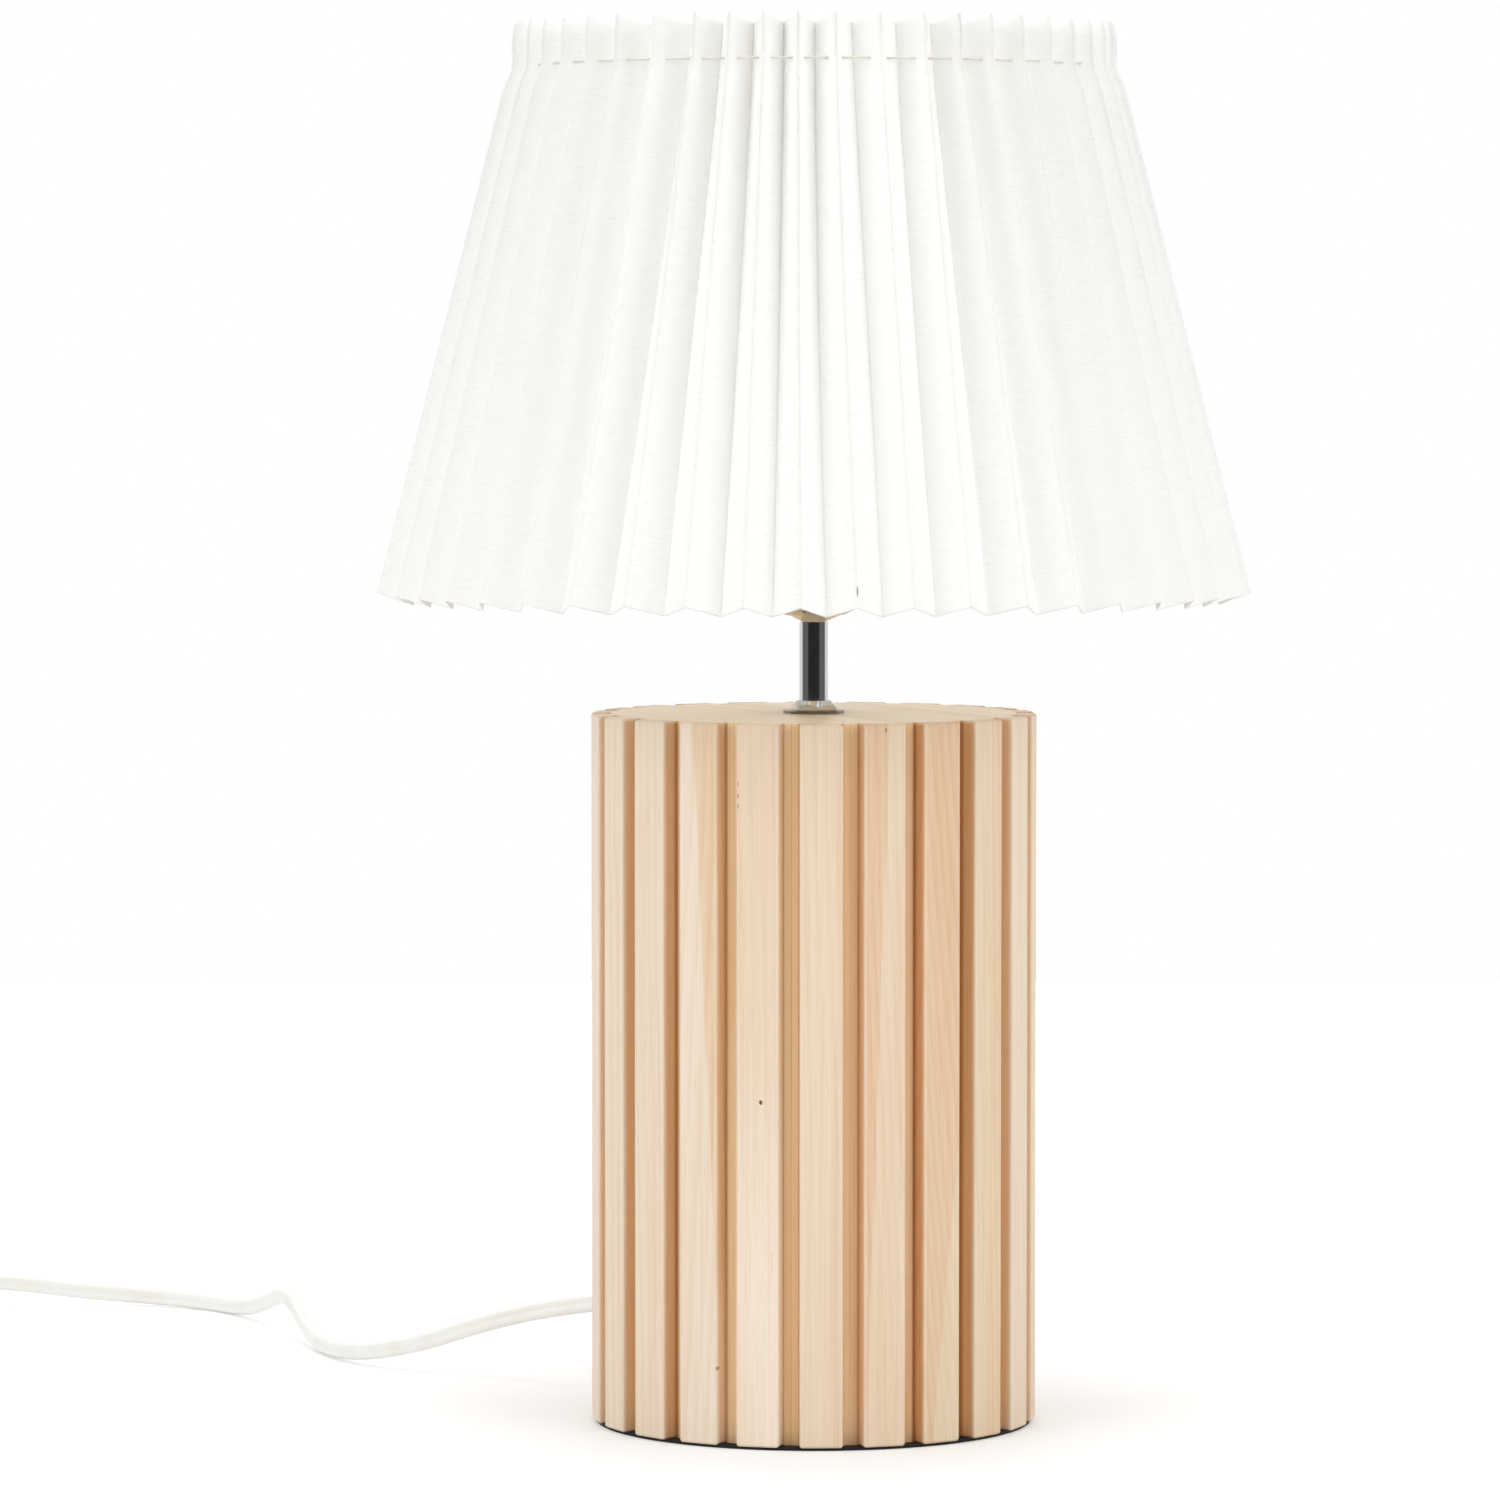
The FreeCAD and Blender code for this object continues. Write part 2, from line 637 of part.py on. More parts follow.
def switch_parts():
    """In-line switch, built along X about the origin and then laid at the end of the first cord run."""
    points = run_points()
    inner_length = switch_length - 2 * switch_wall
    inner_width = switch_width - 2 * switch_wall
    inner_corner = switch_corner - switch_wall
    split = switch_base_height
    low = rounded_block(switch_length, switch_width, 0, split, switch_corner)
    low = low.cut(rounded_block(inner_length, inner_width, switch_wall, split, inner_corner))
    block = rounded_block(switch_length, switch_width, split, switch_cover_height, switch_corner)
    rim = [e for e in block.Edges if e.BoundBox.ZMin > switch_height - 0.001]
    high = block.makeFillet(switch_edge, rim)
    inner_height = switch_cover_height - switch_wall
    high = high.cut(rounded_block(inner_length, inner_width, split, inner_height, inner_corner))
    slot_length = rocker_length + 2 * rocker_gap
    slot_width = rocker_width + 2 * rocker_gap
    slot_corner = Vector(-slot_length / 2, -slot_width / 2, split)
    high = high.cut(Part.makeBox(slot_length, slot_width, switch_height, slot_corner))
    pivot_z = switch_height - rocker_pin_drop
    cheek_low = pivot_z - 2 * rocker_pin_radius
    cheek_height = switch_height - switch_wall - cheek_low
    hole_half = rocker_width / 2 + rocker_pin_length + rocker_gap
    for side in (-1, 1):
        inner_y = side * slot_width / 2
        y = min(inner_y, inner_y + side * cheek_thickness)
        cheek_corner = Vector(-slot_length / 2, y, cheek_low)
        high = high.fuse(Part.makeBox(slot_length, cheek_thickness, cheek_height, cheek_corner))
    hole_radius = rocker_pin_radius + rocker_pin_clearance
    high = high.cut(rod(Vector(0, -hole_half, pivot_z), Vector(0, hole_half, pivot_z), hole_radius))
    screws = []
    boss_x = switch_length / 2 - switch_boss_inset
    boss_y = inner_width / 2 - switch_boss_radius + switch_boss_bite
    for side in (-1, 1):
        for end in (-1, 1):
            foot = Vector(end * boss_x, side * boss_y, 0)
            low = low.fuse(Part.makeCylinder(switch_boss_radius, split, foot))
            high = high.fuse(Part.makeCylinder(switch_boss_radius, inner_height, foot + UP * split))
            head = Part.makeCylinder(screw_head_radius, screw_head_height, foot + UP * floor_gap)
            shank = Part.makeCylinder(screw_radius, split + screw_bite, foot + UP * floor_gap)
            low = low.cut(Part.makeCylinder(screw_head_radius, screw_head_height + floor_gap, foot))
            low = low.cut(Part.makeCylinder(screw_radius, split, foot))
            high = high.cut(Part.makeCylinder(screw_radius, screw_bite + floor_gap, foot + UP * split))
            screws.append(head.fuse(shank).removeSplitter())
    entry_radius = cord_radius + cord_clearance
    entry = rod(Vector(-switch_length, 0, split), Vector(switch_length, 0, split), entry_radius)
    parts = {
        "switch_base": low.cut(entry).removeSplitter(),
        "switch_cover": high.cut(entry).removeSplitter(),
        "switch_rocker": rocker_shape(),
        "switch_screws": Part.makeCompound(screws),
    }
    for shape in parts.values():
        lay_switch(shape, points)
    return parts


def switch_middle(points):
    """Plan centre of the switch: its mouth takes in the end of the first run."""
    turn = math.radians(heading(points))
    ahead = Vector(math.cos(turn), math.sin(turn), 0)
    end = Vector(points[-1].x, points[-1].y, 0)
    return end + ahead * (switch_length / 2 - switch_entry_depth), ahead


def lay_switch(shape, points):
    """Turn and move a switch piece from the origin to its place on the cord."""
    middle, _ = switch_middle(points)
    shape.rotate(CENTRE, UP, heading(points))
    shape.translate(middle)


def link_points():
    """Free cord from the switch to the start of the coil."""
    middle, ahead = switch_middle(run_points())
    inside = middle + ahead * (switch_length / 2 - switch_entry_depth)
    start = Vector(inside.x, inside.y, switch_base_height)
    first_run = ahead * (2 * switch_entry_depth)
    coil_start = coil_knots()[0]
    end = coil_start + Vector(0, cord_diameter, 0)
    return [
        start,
        start + first_run,
        Vector(-420.5, 273.5, 7.8),
        Vector(-434.5, 257, 6.0),
        end + Vector(0, 22, 0),
        end,
    ]


def coil_knots():
    """Points at the left and right of the coil, half a turn apart: a spiral in, a climb, a spiral out."""
    outer = coil_inner_radius + coil_half_turns * coil_half_step
    knots = []
    for k in range(2 * coil_half_turns + 1):
        low_layer = k <= coil_half_turns
        inward = outer - k * coil_half_step
        outward = coil_inner_radius + (k - coil_half_turns - 1) * coil_half_step
        radius = inward if low_layer else outward
        side = -1 if k % 2 == 0 else 1
        z = coil_low_z if low_layer else coil_high_z
        knots.append(Vector(coil_centre_x + side * radius, coil_centre_y, z))
    return knots


def half_turn(start, end, ahead):
    """Two quarter arcs from start to end that leave along ahead and arrive against it."""
    reach = (end - start).Length / 2
    arrive = ahead * -1
    corner_in = start + ahead * reach
    corner_out = end - arrive * reach
    middle = (corner_in + corner_out) * 0.5
    edges = []
    for a, corner, b in ((start, corner_in, middle), (middle, corner_out, end)):
        chord_middle = (a + b) * 0.5
        rise = corner - chord_middle
        turn = (math.pi - (a - corner).getAngle(b - corner)) / 2
        radius = (a - corner).Length / math.tan(turn)
        sagitta = radius * (1 - math.cos(turn))
        rise.normalize()
        edges.append(Part.Arc(a, chord_middle + rise * sagitta, b).toShape())
    return edges


def print_least_gap(wire):
    """Least gap between the coil's turns, measured on points along it."""
    count = int(wire.Length / 2)
    points = wire.discretize(count)
    step = wire.Length / (count - 1)
    skip = int(3 * cord_diameter / step)
    least = min(
        points[i].distanceToPoint(points[j])
        for i in range(count)
        for j in range(i + skip, count)
    )
    print("coil least gap", round(least - cord_diameter, 3))


def make_coil():
    """Put-away cord: loops in two layers as one unbroken tube."""
    knots = coil_knots()
    lead = Vector(0, cord_diameter, 0)
    edges = [Part.LineSegment(knots[0] + lead, knots[0]).toShape()]
    for k in range(len(knots) - 1):
        ahead = Vector(0, -1, 0) if k % 2 == 0 else Vector(0, 1, 0)
        edges += half_turn(knots[k], knots[k + 1], ahead)
    edges.append(Part.LineSegment(knots[-1], knots[-1] - lead).toShape())
    wire = Part.Wire(edges)
    print_least_gap(wire)
    return tube_along(wire, "cord_coil")


def make_strap():
    """Flat strap round the coil's strands on its right-hand side."""
    knots = coil_knots()
    right = [k.x for k in knots[1::2]]
    near = min(right) - cord_radius - strap_side_gap
    far = max(right) + cord_radius + strap_side_gap
    low = strap_thickness
    high = coil_high_z + cord_radius + strap_gap
    y = coil_centre_y - strap_width / 2
    outer = Part.makeBox(
        far - near + 2 * strap_thickness, strap_width, high - low + 2 * strap_thickness,
        Vector(near - strap_thickness, y, low - strap_thickness),
    )
    corners = [e for e in outer.Edges if abs(e.tangentAt(e.FirstParameter).y) > 0.9]
    outer = outer.makeFillet(strap_corner, corners)
    inner = Part.makeBox(far - near, strap_width, high - low, Vector(near, y, low))
    corners = [e for e in inner.Edges if abs(e.tangentAt(e.FirstParameter).y) > 0.9]
    return outer.cut(inner.makeFillet(strap_corner - strap_thickness, corners))


def tail_points():
    """Free cord from the end of the coil into the plug."""
    end = coil_knots()[-1]
    start = end - Vector(0, cord_diameter, 0)
    drop = (coil_high_z - plug_axis_z) / 3
    return [
        start,
        start + Vector(0, -15, 0),
        start + Vector(-0.9, -31, -1.6 * drop),
        Vector(start.x - 1.0, start.y - 47, plug_axis_z),
        Vector(start.x - 1.0, start.y - 60, plug_axis_z),
    ]


def plug_parts():
    """Flat two-pin plug with a tapered strain relief, laid along -Y at the end of the tail."""
    mouth = tail_points()[-1] + Vector(0, plug_entry_depth, 0)
    rear_y = mouth.y - relief_length
    face_y = rear_y - plug_length
    half = plug_width / 2
    rear = plug_rear_width / 2
    low_z = plug_axis_z - plug_thickness / 2
    wide_y = rear_y - plug_length / 2
    face_half = half - rear / 2
    outline = [
        Vector(-rear, rear_y, low_z), Vector(rear, rear_y, low_z), Vector(half, wide_y, low_z),
        Vector(face_half, face_y, low_z), Vector(-face_half, face_y, low_z), Vector(-half, wide_y, low_z),
    ]
    body = Part.Face(Part.makePolygon(outline + outline[:1])).extrude(UP * plug_thickness)
    body = body.makeFillet(plug_edge, body.Edges)
    tip_radius = cord_radius + cord_clearance + relief_wall
    axis_point = Vector(0, rear_y - plug_edge, plug_axis_z)
    taper_length = relief_length + plug_edge
    relief = Part.makeCone(relief_root_radius, tip_radius, taper_length, axis_point, Vector(0, 1, 0))
    entry_end = Vector(0, mouth.y - plug_entry_depth, plug_axis_z)
    entry_mouth = Vector(0, mouth.y, plug_axis_z)
    entry = rod(entry_end, entry_mouth, cord_radius + cord_clearance)
    body = body.fuse(relief).removeSplitter().cut(entry)
    pins = []
    for side in (-1, 1):
        root = Vector(side * pin_spread / 2, face_y + pin_root, plug_axis_z)
        pin = rod(root, root - Vector(0, pin_root + pin_length, 0), pin_radius)
        tip = [e for e in pin.Edges if e.BoundBox.YMax < face_y - pin_length + 0.001]
        body = body.cut(pin)
        pins.append(pin.makeFillet(pin_radius / 2, tip))
    parts = {"plug_body": body, "plug_pins": Part.makeCompound(pins)}
    for shape in parts.values():
        shape.translate(Vector(mouth.x, 0, 0))
    return parts


def cord_parts():
    """Free cord outside the base, with its coil and strap."""
    return {
        "cord_run": tube_along(route_wire(run_points(), "cord_run"), "cord_run"),
        "cord_link": tube_along(route_wire(link_points(), "cord_link"), "cord_link"),
        "cord_coil": make_coil(),
        "cord_tie": make_strap(),
        "cord_tail": tube_along(route_wire(tail_points(), "cord_tail"), "cord_tail"),
    }


def main():
    """Build every piece and write one STEP file for each."""
    os.makedirs("parts", exist_ok=True)
    sections = (
        base_parts, stem_parts, holder_parts, bulb_parts, shade_parts,
        outlet_parts, cord_parts, switch_parts, plug_parts,
    )
    for section in sections:
        for name, shape in section().items():
            if not shape.isValid():
                print("not valid:", name)
            shape.exportStep("parts/" + name + ".step")


main()
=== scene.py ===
"""Dresses the wooden table lamp: slatted drum base, chrome stem, pleated shade and twin cord.

Metres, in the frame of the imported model: +Z up, the front looks along -Y, +X to the right.
Angles round the lamp are in degrees from the front, positive towards +X.
"""
from __future__ import annotations

import logging
import math
import random
from dataclasses import dataclass, field
from enum import Enum
from typing import Any, Callable, Mapping, Sequence, Union

import bmesh
import bpy
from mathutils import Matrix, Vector


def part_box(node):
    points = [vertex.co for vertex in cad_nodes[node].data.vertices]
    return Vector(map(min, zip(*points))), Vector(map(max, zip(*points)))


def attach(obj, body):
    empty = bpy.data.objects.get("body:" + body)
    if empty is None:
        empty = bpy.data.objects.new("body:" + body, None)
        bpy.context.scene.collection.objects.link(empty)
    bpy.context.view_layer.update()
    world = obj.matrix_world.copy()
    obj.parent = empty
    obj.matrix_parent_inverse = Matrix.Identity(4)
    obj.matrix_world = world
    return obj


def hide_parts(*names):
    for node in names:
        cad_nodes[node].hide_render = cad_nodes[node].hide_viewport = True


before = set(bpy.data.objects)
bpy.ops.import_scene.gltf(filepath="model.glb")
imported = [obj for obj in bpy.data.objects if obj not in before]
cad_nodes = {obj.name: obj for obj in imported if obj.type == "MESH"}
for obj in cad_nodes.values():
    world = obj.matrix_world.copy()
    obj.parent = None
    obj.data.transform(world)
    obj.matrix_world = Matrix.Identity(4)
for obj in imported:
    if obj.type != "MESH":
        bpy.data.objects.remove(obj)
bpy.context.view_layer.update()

log = logging.getLogger("lamp")
MM = 0.001
Colour = tuple[float, float, float]
Point = tuple[float, float, float]
Span = tuple[float, float]
Wire = bpy.types.NodeSocket
Tree = bpy.types.NodeTree
Material = bpy.types.Material
Piece = bpy.types.Object
Mesh = bmesh.types.BMesh
Feed = Union[float, Sequence[float], Wire]
Wires = Mapping[str, Wire]


class Body(str, Enum):
    """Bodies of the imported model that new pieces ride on."""

    BASE = "base"
    SHADE = "shade"


class Socket(str, Enum):
    """Socket types of a node group's inputs and outputs."""

    VALUE = "NodeSocketFloat"
    VECTOR = "NodeSocketVector"


class Ends(Enum):
    """What a row of section rings has at its two ends."""

    OPEN = "open"
    CAPPED = "capped"
    JOINED = "joined"


def tone(red: int, green: int, blue: int) -> Colour:
    """Turn a colour written as screen values from 0 to 255 into linear light.

    Args:
        red: Red screen value.
        green: Green screen value.
        blue: Blue screen value.

    Returns:
        The linear colour.
    """
    shares = [value / 255.0 for value in (red, green, blue)]
    return tuple(s / 12.92 if s <= 0.04045 else ((s + 0.055) / 1.055) ** 2.4 for s in shares)


def scaled(values: Sequence[float], share: float) -> tuple[float, ...]:
    """Values times a share."""
    return tuple(share * value for value in values)


def polar(radius: float, angle: float, z: float) -> Vector:
    """Point at a radius and height, at an angle in degrees from the front."""
    turn = math.radians(angle)
    return Vector((radius * math.sin(turn), -radius * math.cos(turn), z))


def smooth(low: float, high: float, value: float) -> float:
    """Smooth step from 0 at low to 1 at high."""
    share = min(1.0, max(0.0, (value - low) / (high - low)))
    return share * share * (3.0 - 2.0 * share)


def link(obj: Piece) -> None:
    """Put an object in the scene."""
    bpy.context.scene.collection.objects.link(obj)


@dataclass(frozen=True)
class Veil:
    """A tint laid on wood as one figure of its grain rises from low to high."""

    figure: str
    low: float
    high: float
    strength: float
    tint: Colour


class NodeSketch:
    """Short hand for filling one shader node tree."""

    def __init__(self, tree: Tree) -> None:
        """Keep the tree that the methods fill."""
        self.tree = tree

    def feed(self, socket: Wire, value: Feed) -> None:
        """Link a socket into an input, or set the input's own value.

        Args:
            socket: Input socket.
            value: Output socket to link, or a number, colour or vector.
        """
        if isinstance(value, Wire):
            self.tree.links.new(value, socket)
        elif socket.type == "RGBA" and len(value) == 3:
            socket.default_value = (*value, 1.0)
        else:
            socket.default_value = value

    def add(self, kind: str, inputs: Mapping[Any, Feed] | None = None, **settings: Any) -> bpy.types.Node:
        """Add a node, set its properties and feed its inputs.

        Args:
            kind: Blender's node type.
            inputs: Values or sockets by input name or number.
            **settings: Node properties.

        Returns:
            The node.
        """
        node = self.tree.nodes.new(kind)
        for name, value in settings.items():
            setattr(node, name, value)
        for key, value in (inputs or {}).items():
            self.feed(node.inputs[key], value)
        return node

    def group(self, tree: Tree, **inputs: Feed) -> Wires:
        """Outputs of a shared node group."""
        return self.add("ShaderNodeGroup", inputs, node_tree=tree).outputs

    def calc(self, operation: str, *values: Feed) -> Wire:
        """Output of a math node."""
        return self.add("ShaderNodeMath", dict(enumerate(values)), operation=operation).outputs[0]

    def times(self, first: Feed, second: Feed) -> Wire:
        """Product of two values."""
        return self.calc("MULTIPLY", first, second)

    def vector(self, operation: str, *values: Feed) -> Wire:
        """Vector output of a vector math node."""
        return self.add("ShaderNodeVectorMath", dict(enumerate(values)), operation=operation).outputs[0]

    def length(self, vector: Wire) -> Wire:
        """Length of a vector."""
        return self.add("ShaderNodeVectorMath", {0: vector}, operation="LENGTH").outputs["Value"]

    def turned(self, vector: Wire, angle: float) -> Wire:
        """A vector turned round Z by an angle in degrees."""
        inputs = {"Vector": vector, "Angle": math.radians(angle)}
        return self.add("ShaderNodeVectorRotate", inputs, rotation_type="Z_AXIS").outputs[0]

    def split(self, vector: Wire) -> list[Wire]:
        """The three parts of a vector."""
        return list(self.add("ShaderNodeSeparateXYZ", {0: vector}).outputs)

    def join(self, x: Feed, y: Feed, z: Feed) -> Wire:
        """A vector from three parts."""
        return self.add("ShaderNodeCombineXYZ", {0: x, 1: y, 2: z}).outputs[0]

    def step(self, value: Feed, low: Feed, high: Feed) -> Wire:
        """Smooth step of a value from 0 at low to 1 at high."""
        inputs = {"Value": value, "From Min": low, "From Max": high}
        return self.add("ShaderNodeMapRange", inputs, interpolation_type="SMOOTHSTEP").outputs[0]

    def spread(self, value: Feed, low: float, high: float) -> Wire:
        """Map a value from 0 to 1 on a range."""
        return self.add("ShaderNodeMapRange", {"Value": value, "To Min": low, "To Max": high}).outputs[0]

    def mix(self, share: Feed, low: Feed, high: Feed, mode: str = "MIX") -> Wire:
        """Colour output of a mix node."""
        settings = {"data_type": "RGBA", "blend_type": mode}
        return self.add("ShaderNodeMix", {0: share, 6: low, 7: high}, **settings).outputs[2]

    def tint(self, colour: Feed, mask: Feed, strength: float, tint: Colour) -> Wire:
        """A colour multiplied by a tint, as far as a mask and a strength say."""
        return self.mix(self.times(mask, strength), colour, tint, "MULTIPLY")

    def noise(self, vector: Feed, stretch: Feed, detail: float = 2.0, rough: float = 0.5) -> Wire:
        """Value of a noise whose grain is stretched along an axis.

        Args:
            vector: Coordinates in metres.
            stretch: Waves per metre along each axis.
            detail: Octaves.
            rough: Strength of the finer octaves.

        Returns:
            The noise value from about 0 to 1.
        """
        waves = self.vector("MULTIPLY", vector, stretch)
        inputs = {"Vector": waves, "Scale": 1.0, "Detail": detail, "Roughness": rough}
        return self.add("ShaderNodeTexNoise", inputs).outputs[0]


class MaterialSketch(NodeSketch):
    """Nodes of one new material round its Principled shader."""

    def __init__(self, name: str) -> None:
        """Make the material.

        Args:
            name: Material name.
        """
        self.material = bpy.data.materials.new(name)
        self.material.use_nodes = True
        super().__init__(self.material.node_tree)
        self.shader = self.tree.nodes["Principled BSDF"]

    def place(self, kind: str = "Object") -> Wire:
        """Coordinates of one kind."""
        return self.add("ShaderNodeTexCoord").outputs[kind]

    def bump(self, height: Wire, relief: Span, **more: Feed) -> Wire:
        """Normal of a bumpy surface, whose relief is the bump's strength and distance."""
        inputs = {"Strength": relief[0], "Distance": relief[1], "Height": height, **more}
        return self.add("ShaderNodeBump", inputs).outputs[0]

    def shade(self, inputs: Mapping[str, Feed]) -> None:
        """Feed the shader's inputs by name."""
        for name, value in inputs.items():
            self.feed(self.shader.inputs[name], value)


@dataclass
class Effects:
    """Node groups that several materials share, each built once.

    A grain gives a noise's waves per metre along each axis.
    """

    wander_grain: Point = (38.0, 38.0, 3.2)
    wander_reach: float = 11.0 * MM
    ring_rise: Span = (0.25, 0.92)
    ring_fall: Span = (1.0, 0.93)
    fibre_grain: Point = (1900.0, 1900.0, 18.0)
    streak_grain: Point = (420.0, 420.0, 5.0)
    broad_grain: Point = (60.0, 60.0, 7.0)
    pore_grain: Point = (1500.0, 1500.0, 60.0)
    pore_span: Span = (0.64, 0.76)
    coarse_share: float = 0.07
    patch_grain: Point = (90.0, 90.0, 90.0)
    ragged_grain: Point = (900.0, 900.0, 500.0)
    ragged: float = 0.35
    mark_edge: Span = (1.0, 0.55)
    plank: Tree = field(init=False)
    speck: Tree = field(init=False)
    drawn: Tree = field(init=False)
    fleck: Tree = field(init=False)

    def __post_init__(self) -> None:
        """Build every group."""
        place = Socket.VECTOR
        value = Socket.VALUE
        self.plank = self._group(
            "plank_grain", self._plank_grain, Vector=place, Pith=place, Lean=value, Ring=value
        )
        self.speck = self._group("speckle", self._speckle, Vector=place, Scale=value)
        self.drawn = self._group("draw_marks", self._draw_marks, Vector=place, Stretch=place)
        self.fleck = self._group("small_mark", self._small_mark, Vector=place, Place=place, Size=place)

    @staticmethod
    def _group(name: str, fill: Callable[..., Wires], **inputs: Socket) -> Tree:
        """Make a node group.

        Args:
            name: Group name.
            fill: Method that adds the nodes and gives the outputs by name.
            **inputs: Type of each input by name.

        Returns:
            The group.
        """
        tree = bpy.data.node_groups.new(name, "ShaderNodeTree")
        for label, kind in inputs.items():
            tree.interface.new_socket(name=label, in_out="INPUT", socket_type=kind.value)
        sketch = NodeSketch(tree)
        results = fill(sketch, sketch.add("NodeGroupInput").outputs)
        for label in results:
            tree.interface.new_socket(name=label, in_out="OUTPUT", socket_type=Socket.VALUE.value)
        sketch.add("NodeGroupOutput", results)
        return tree

    def _plank_grain(self, sketch: NodeSketch, given: Wires) -> Wires:
        """Year rings, fibres, broad clouds and pores of a board whose grain runs along Z.

        Args:
            sketch: The group's nodes.
            given: Its inputs.

        Returns:
            Its outputs.
        """
        place = given["Vector"]
        wander = sketch.calc("SUBTRACT", sketch.noise(place, self.wander_grain), 0.5)
        drift = sketch.times(wander, self.wander_reach)
        x, y, z = sketch.split(sketch.vector("SUBTRACT", place, given["Pith"]))
        across = sketch.calc("ADD", sketch.calc("MULTIPLY_ADD", z, given["Lean"], x), drift)
        square = sketch.calc("MULTIPLY_ADD", across, across, sketch.times(y, y))
        saw = sketch.calc("FRACT", sketch.calc("DIVIDE", sketch.calc("SQRT", square), given["Ring"]))
        rise = sketch.step(saw, *self.ring_rise)
        fall = sketch.step(saw, *self.ring_fall)
        return {
            "Rings": sketch.times(rise, fall),
            "Fibre": sketch.noise(place, self.fibre_grain, 3.0, 0.6),
            "Streak": sketch.noise(place, self.streak_grain),
            "Broad": sketch.noise(place, self.broad_grain),
            "Pores": sketch.step(sketch.noise(place, self.pore_grain, 1.0), *self.pore_span),
        }

    def _speckle(self, sketch: NodeSketch, given: Wires) -> Wires:
        """Fine uneven grain of moulded plastic, rubber and ceramic.

        Args:
            sketch: The group's nodes.
            given: Its inputs.

        Returns:
            Its outputs.
        """
        place = given["Vector"]
        fine = {"Vector": place, "Scale": given["Scale"], "Detail": 3.0}
        coarse = {"Vector": place, "Scale": sketch.times(given["Scale"], self.coarse_share), "Detail": 2.0}
        return {
            "Fine": sketch.add("ShaderNodeTexNoise", fine).outputs[0],
            "Coarse": sketch.add("ShaderNodeTexNoise", coarse).outputs[0],
        }

    def _draw_marks(self, sketch: NodeSketch, given: Wires) -> Wires:
        """Fine lines left on metal by drawing and rolling, with broad finger-soft patches."""
        lines = sketch.noise(given["Vector"], given["Stretch"], 3.0)
        return {"Lines": lines, "Patches": sketch.noise(given["Vector"], self.patch_grain)}

    def _small_mark(self, sketch: NodeSketch, given: Wires) -> Wires:
        """One small ragged mark, such as a pin knot or the painted shade of a gap, at a place and of a size
        in metres.

        Args:
            sketch: The group's nodes.
            given: Its inputs.

        Returns:
            Its outputs.
        """
        ragged = sketch.noise(given["Vector"], self.ragged_grain)
        offset = sketch.vector("SUBTRACT", given["Vector"], given["Place"])
        reach = sketch.length(sketch.vector("DIVIDE", offset, given["Size"]))
        uneven = sketch.calc("ADD", reach, sketch.spread(ragged, -self.ragged, self.ragged))
        return {"Mask": sketch.step(uneven, *self.mark_edge)}


@dataclass(frozen=True)
class Finish:
    """A finish that makes materials. Its relief is the strength and the distance of its bump."""

    effects: Effects

    def build(self, name: str) -> Material:
        """Make the material.

        Args:
            name: Material name.

        Returns:
            The material.
        """
        sketch = MaterialSketch(name)
        self.paint(sketch, sketch.place())
        return sketch.material

    def paint(self, sketch: MaterialSketch, coords: Wire) -> None:
        """Fill the material's nodes, from coordinates in metres, in the finish's own way."""
        raise NotImplementedError


def dress(obj: Piece, material: Material, rim: Material | None = None) -> None:
    """Give an object its material.

    Args:
        obj: The object.
        material: Material of every face.
        rim: Another material for the upright faces.
    """
    upright = 0.5
    obj.data.materials.clear()
    obj.data.materials.append(material)
    if rim:
        obj.data.materials.append(rim)
    for face in obj.data.polygons:
        face.material_index = 1 if rim and abs(face.normal.z) < upright else 0


def dress_nodes(rows: Sequence[tuple[Finish, str, str]]) -> None:
    """Make finishes and give them to CAD nodes.

    Args:
        rows: Finish, name of its material, and names of the nodes with spaces between them.
    """
    for finish, name, names in rows:
        material = finish.build(name)
        for node in names.split():
            dress(cad_nodes[node], material)


@dataclass(frozen=True)
class Fleck:
    """A dark mark on a slat: sideways place, height, half width and half height in mm, and strength."""

    x: float
    z: float
    wide: float
    tall: float
    strength: float


@dataclass(frozen=True)
class SlatTone:
    """Colour and figure of one slat.

    The heartwood's edge is at edge_at where the slat ends at the top, and moves by lean for each metre of
    height. Bleach is how far the sapwood pales towards the foot, and the last share scales the painted
    shade down the slat's groove sides.
    """

    pale: Colour
    heart: Colour
    edge_at: float
    lean: float
    heart_left: bool
    ring: float
    pith: Point
    seed: float
    flecks: tuple[Fleck, ...] = ()
    bleach: float = 0.0
    # share of the painted shade down the slat's groove sides
    wall_shade: float = 1.0


@dataclass(frozen=True)
class WoodFinish(Finish):
    """Wood with a grain from the shared plank group."""

    def grain(self, sketch: NodeSketch, place: Wire, pith: Point, lean: float, ring: float) -> Wires:
        """Figures of the grain."""
        return sketch.group(self.effects.plank, Vector=place, Pith=pith, Lean=lean, Ring=ring)

    def veil(self, sketch: NodeSketch, colour: Wire, grain: Wires, veils: Sequence[Veil]) -> Wire:
        """Lay tints on a colour.

        Args:
            sketch: The material's nodes.
            colour: The colour before.
            grain: Figures of the grain.
            veils: The tints in order.

        Returns:
            The colour after.
        """
        for veil in veils:
            mask = sketch.step(grain[veil.figure], veil.low, veil.high)
            colour = sketch.tint(colour, mask, veil.strength, veil.tint)
        return colour


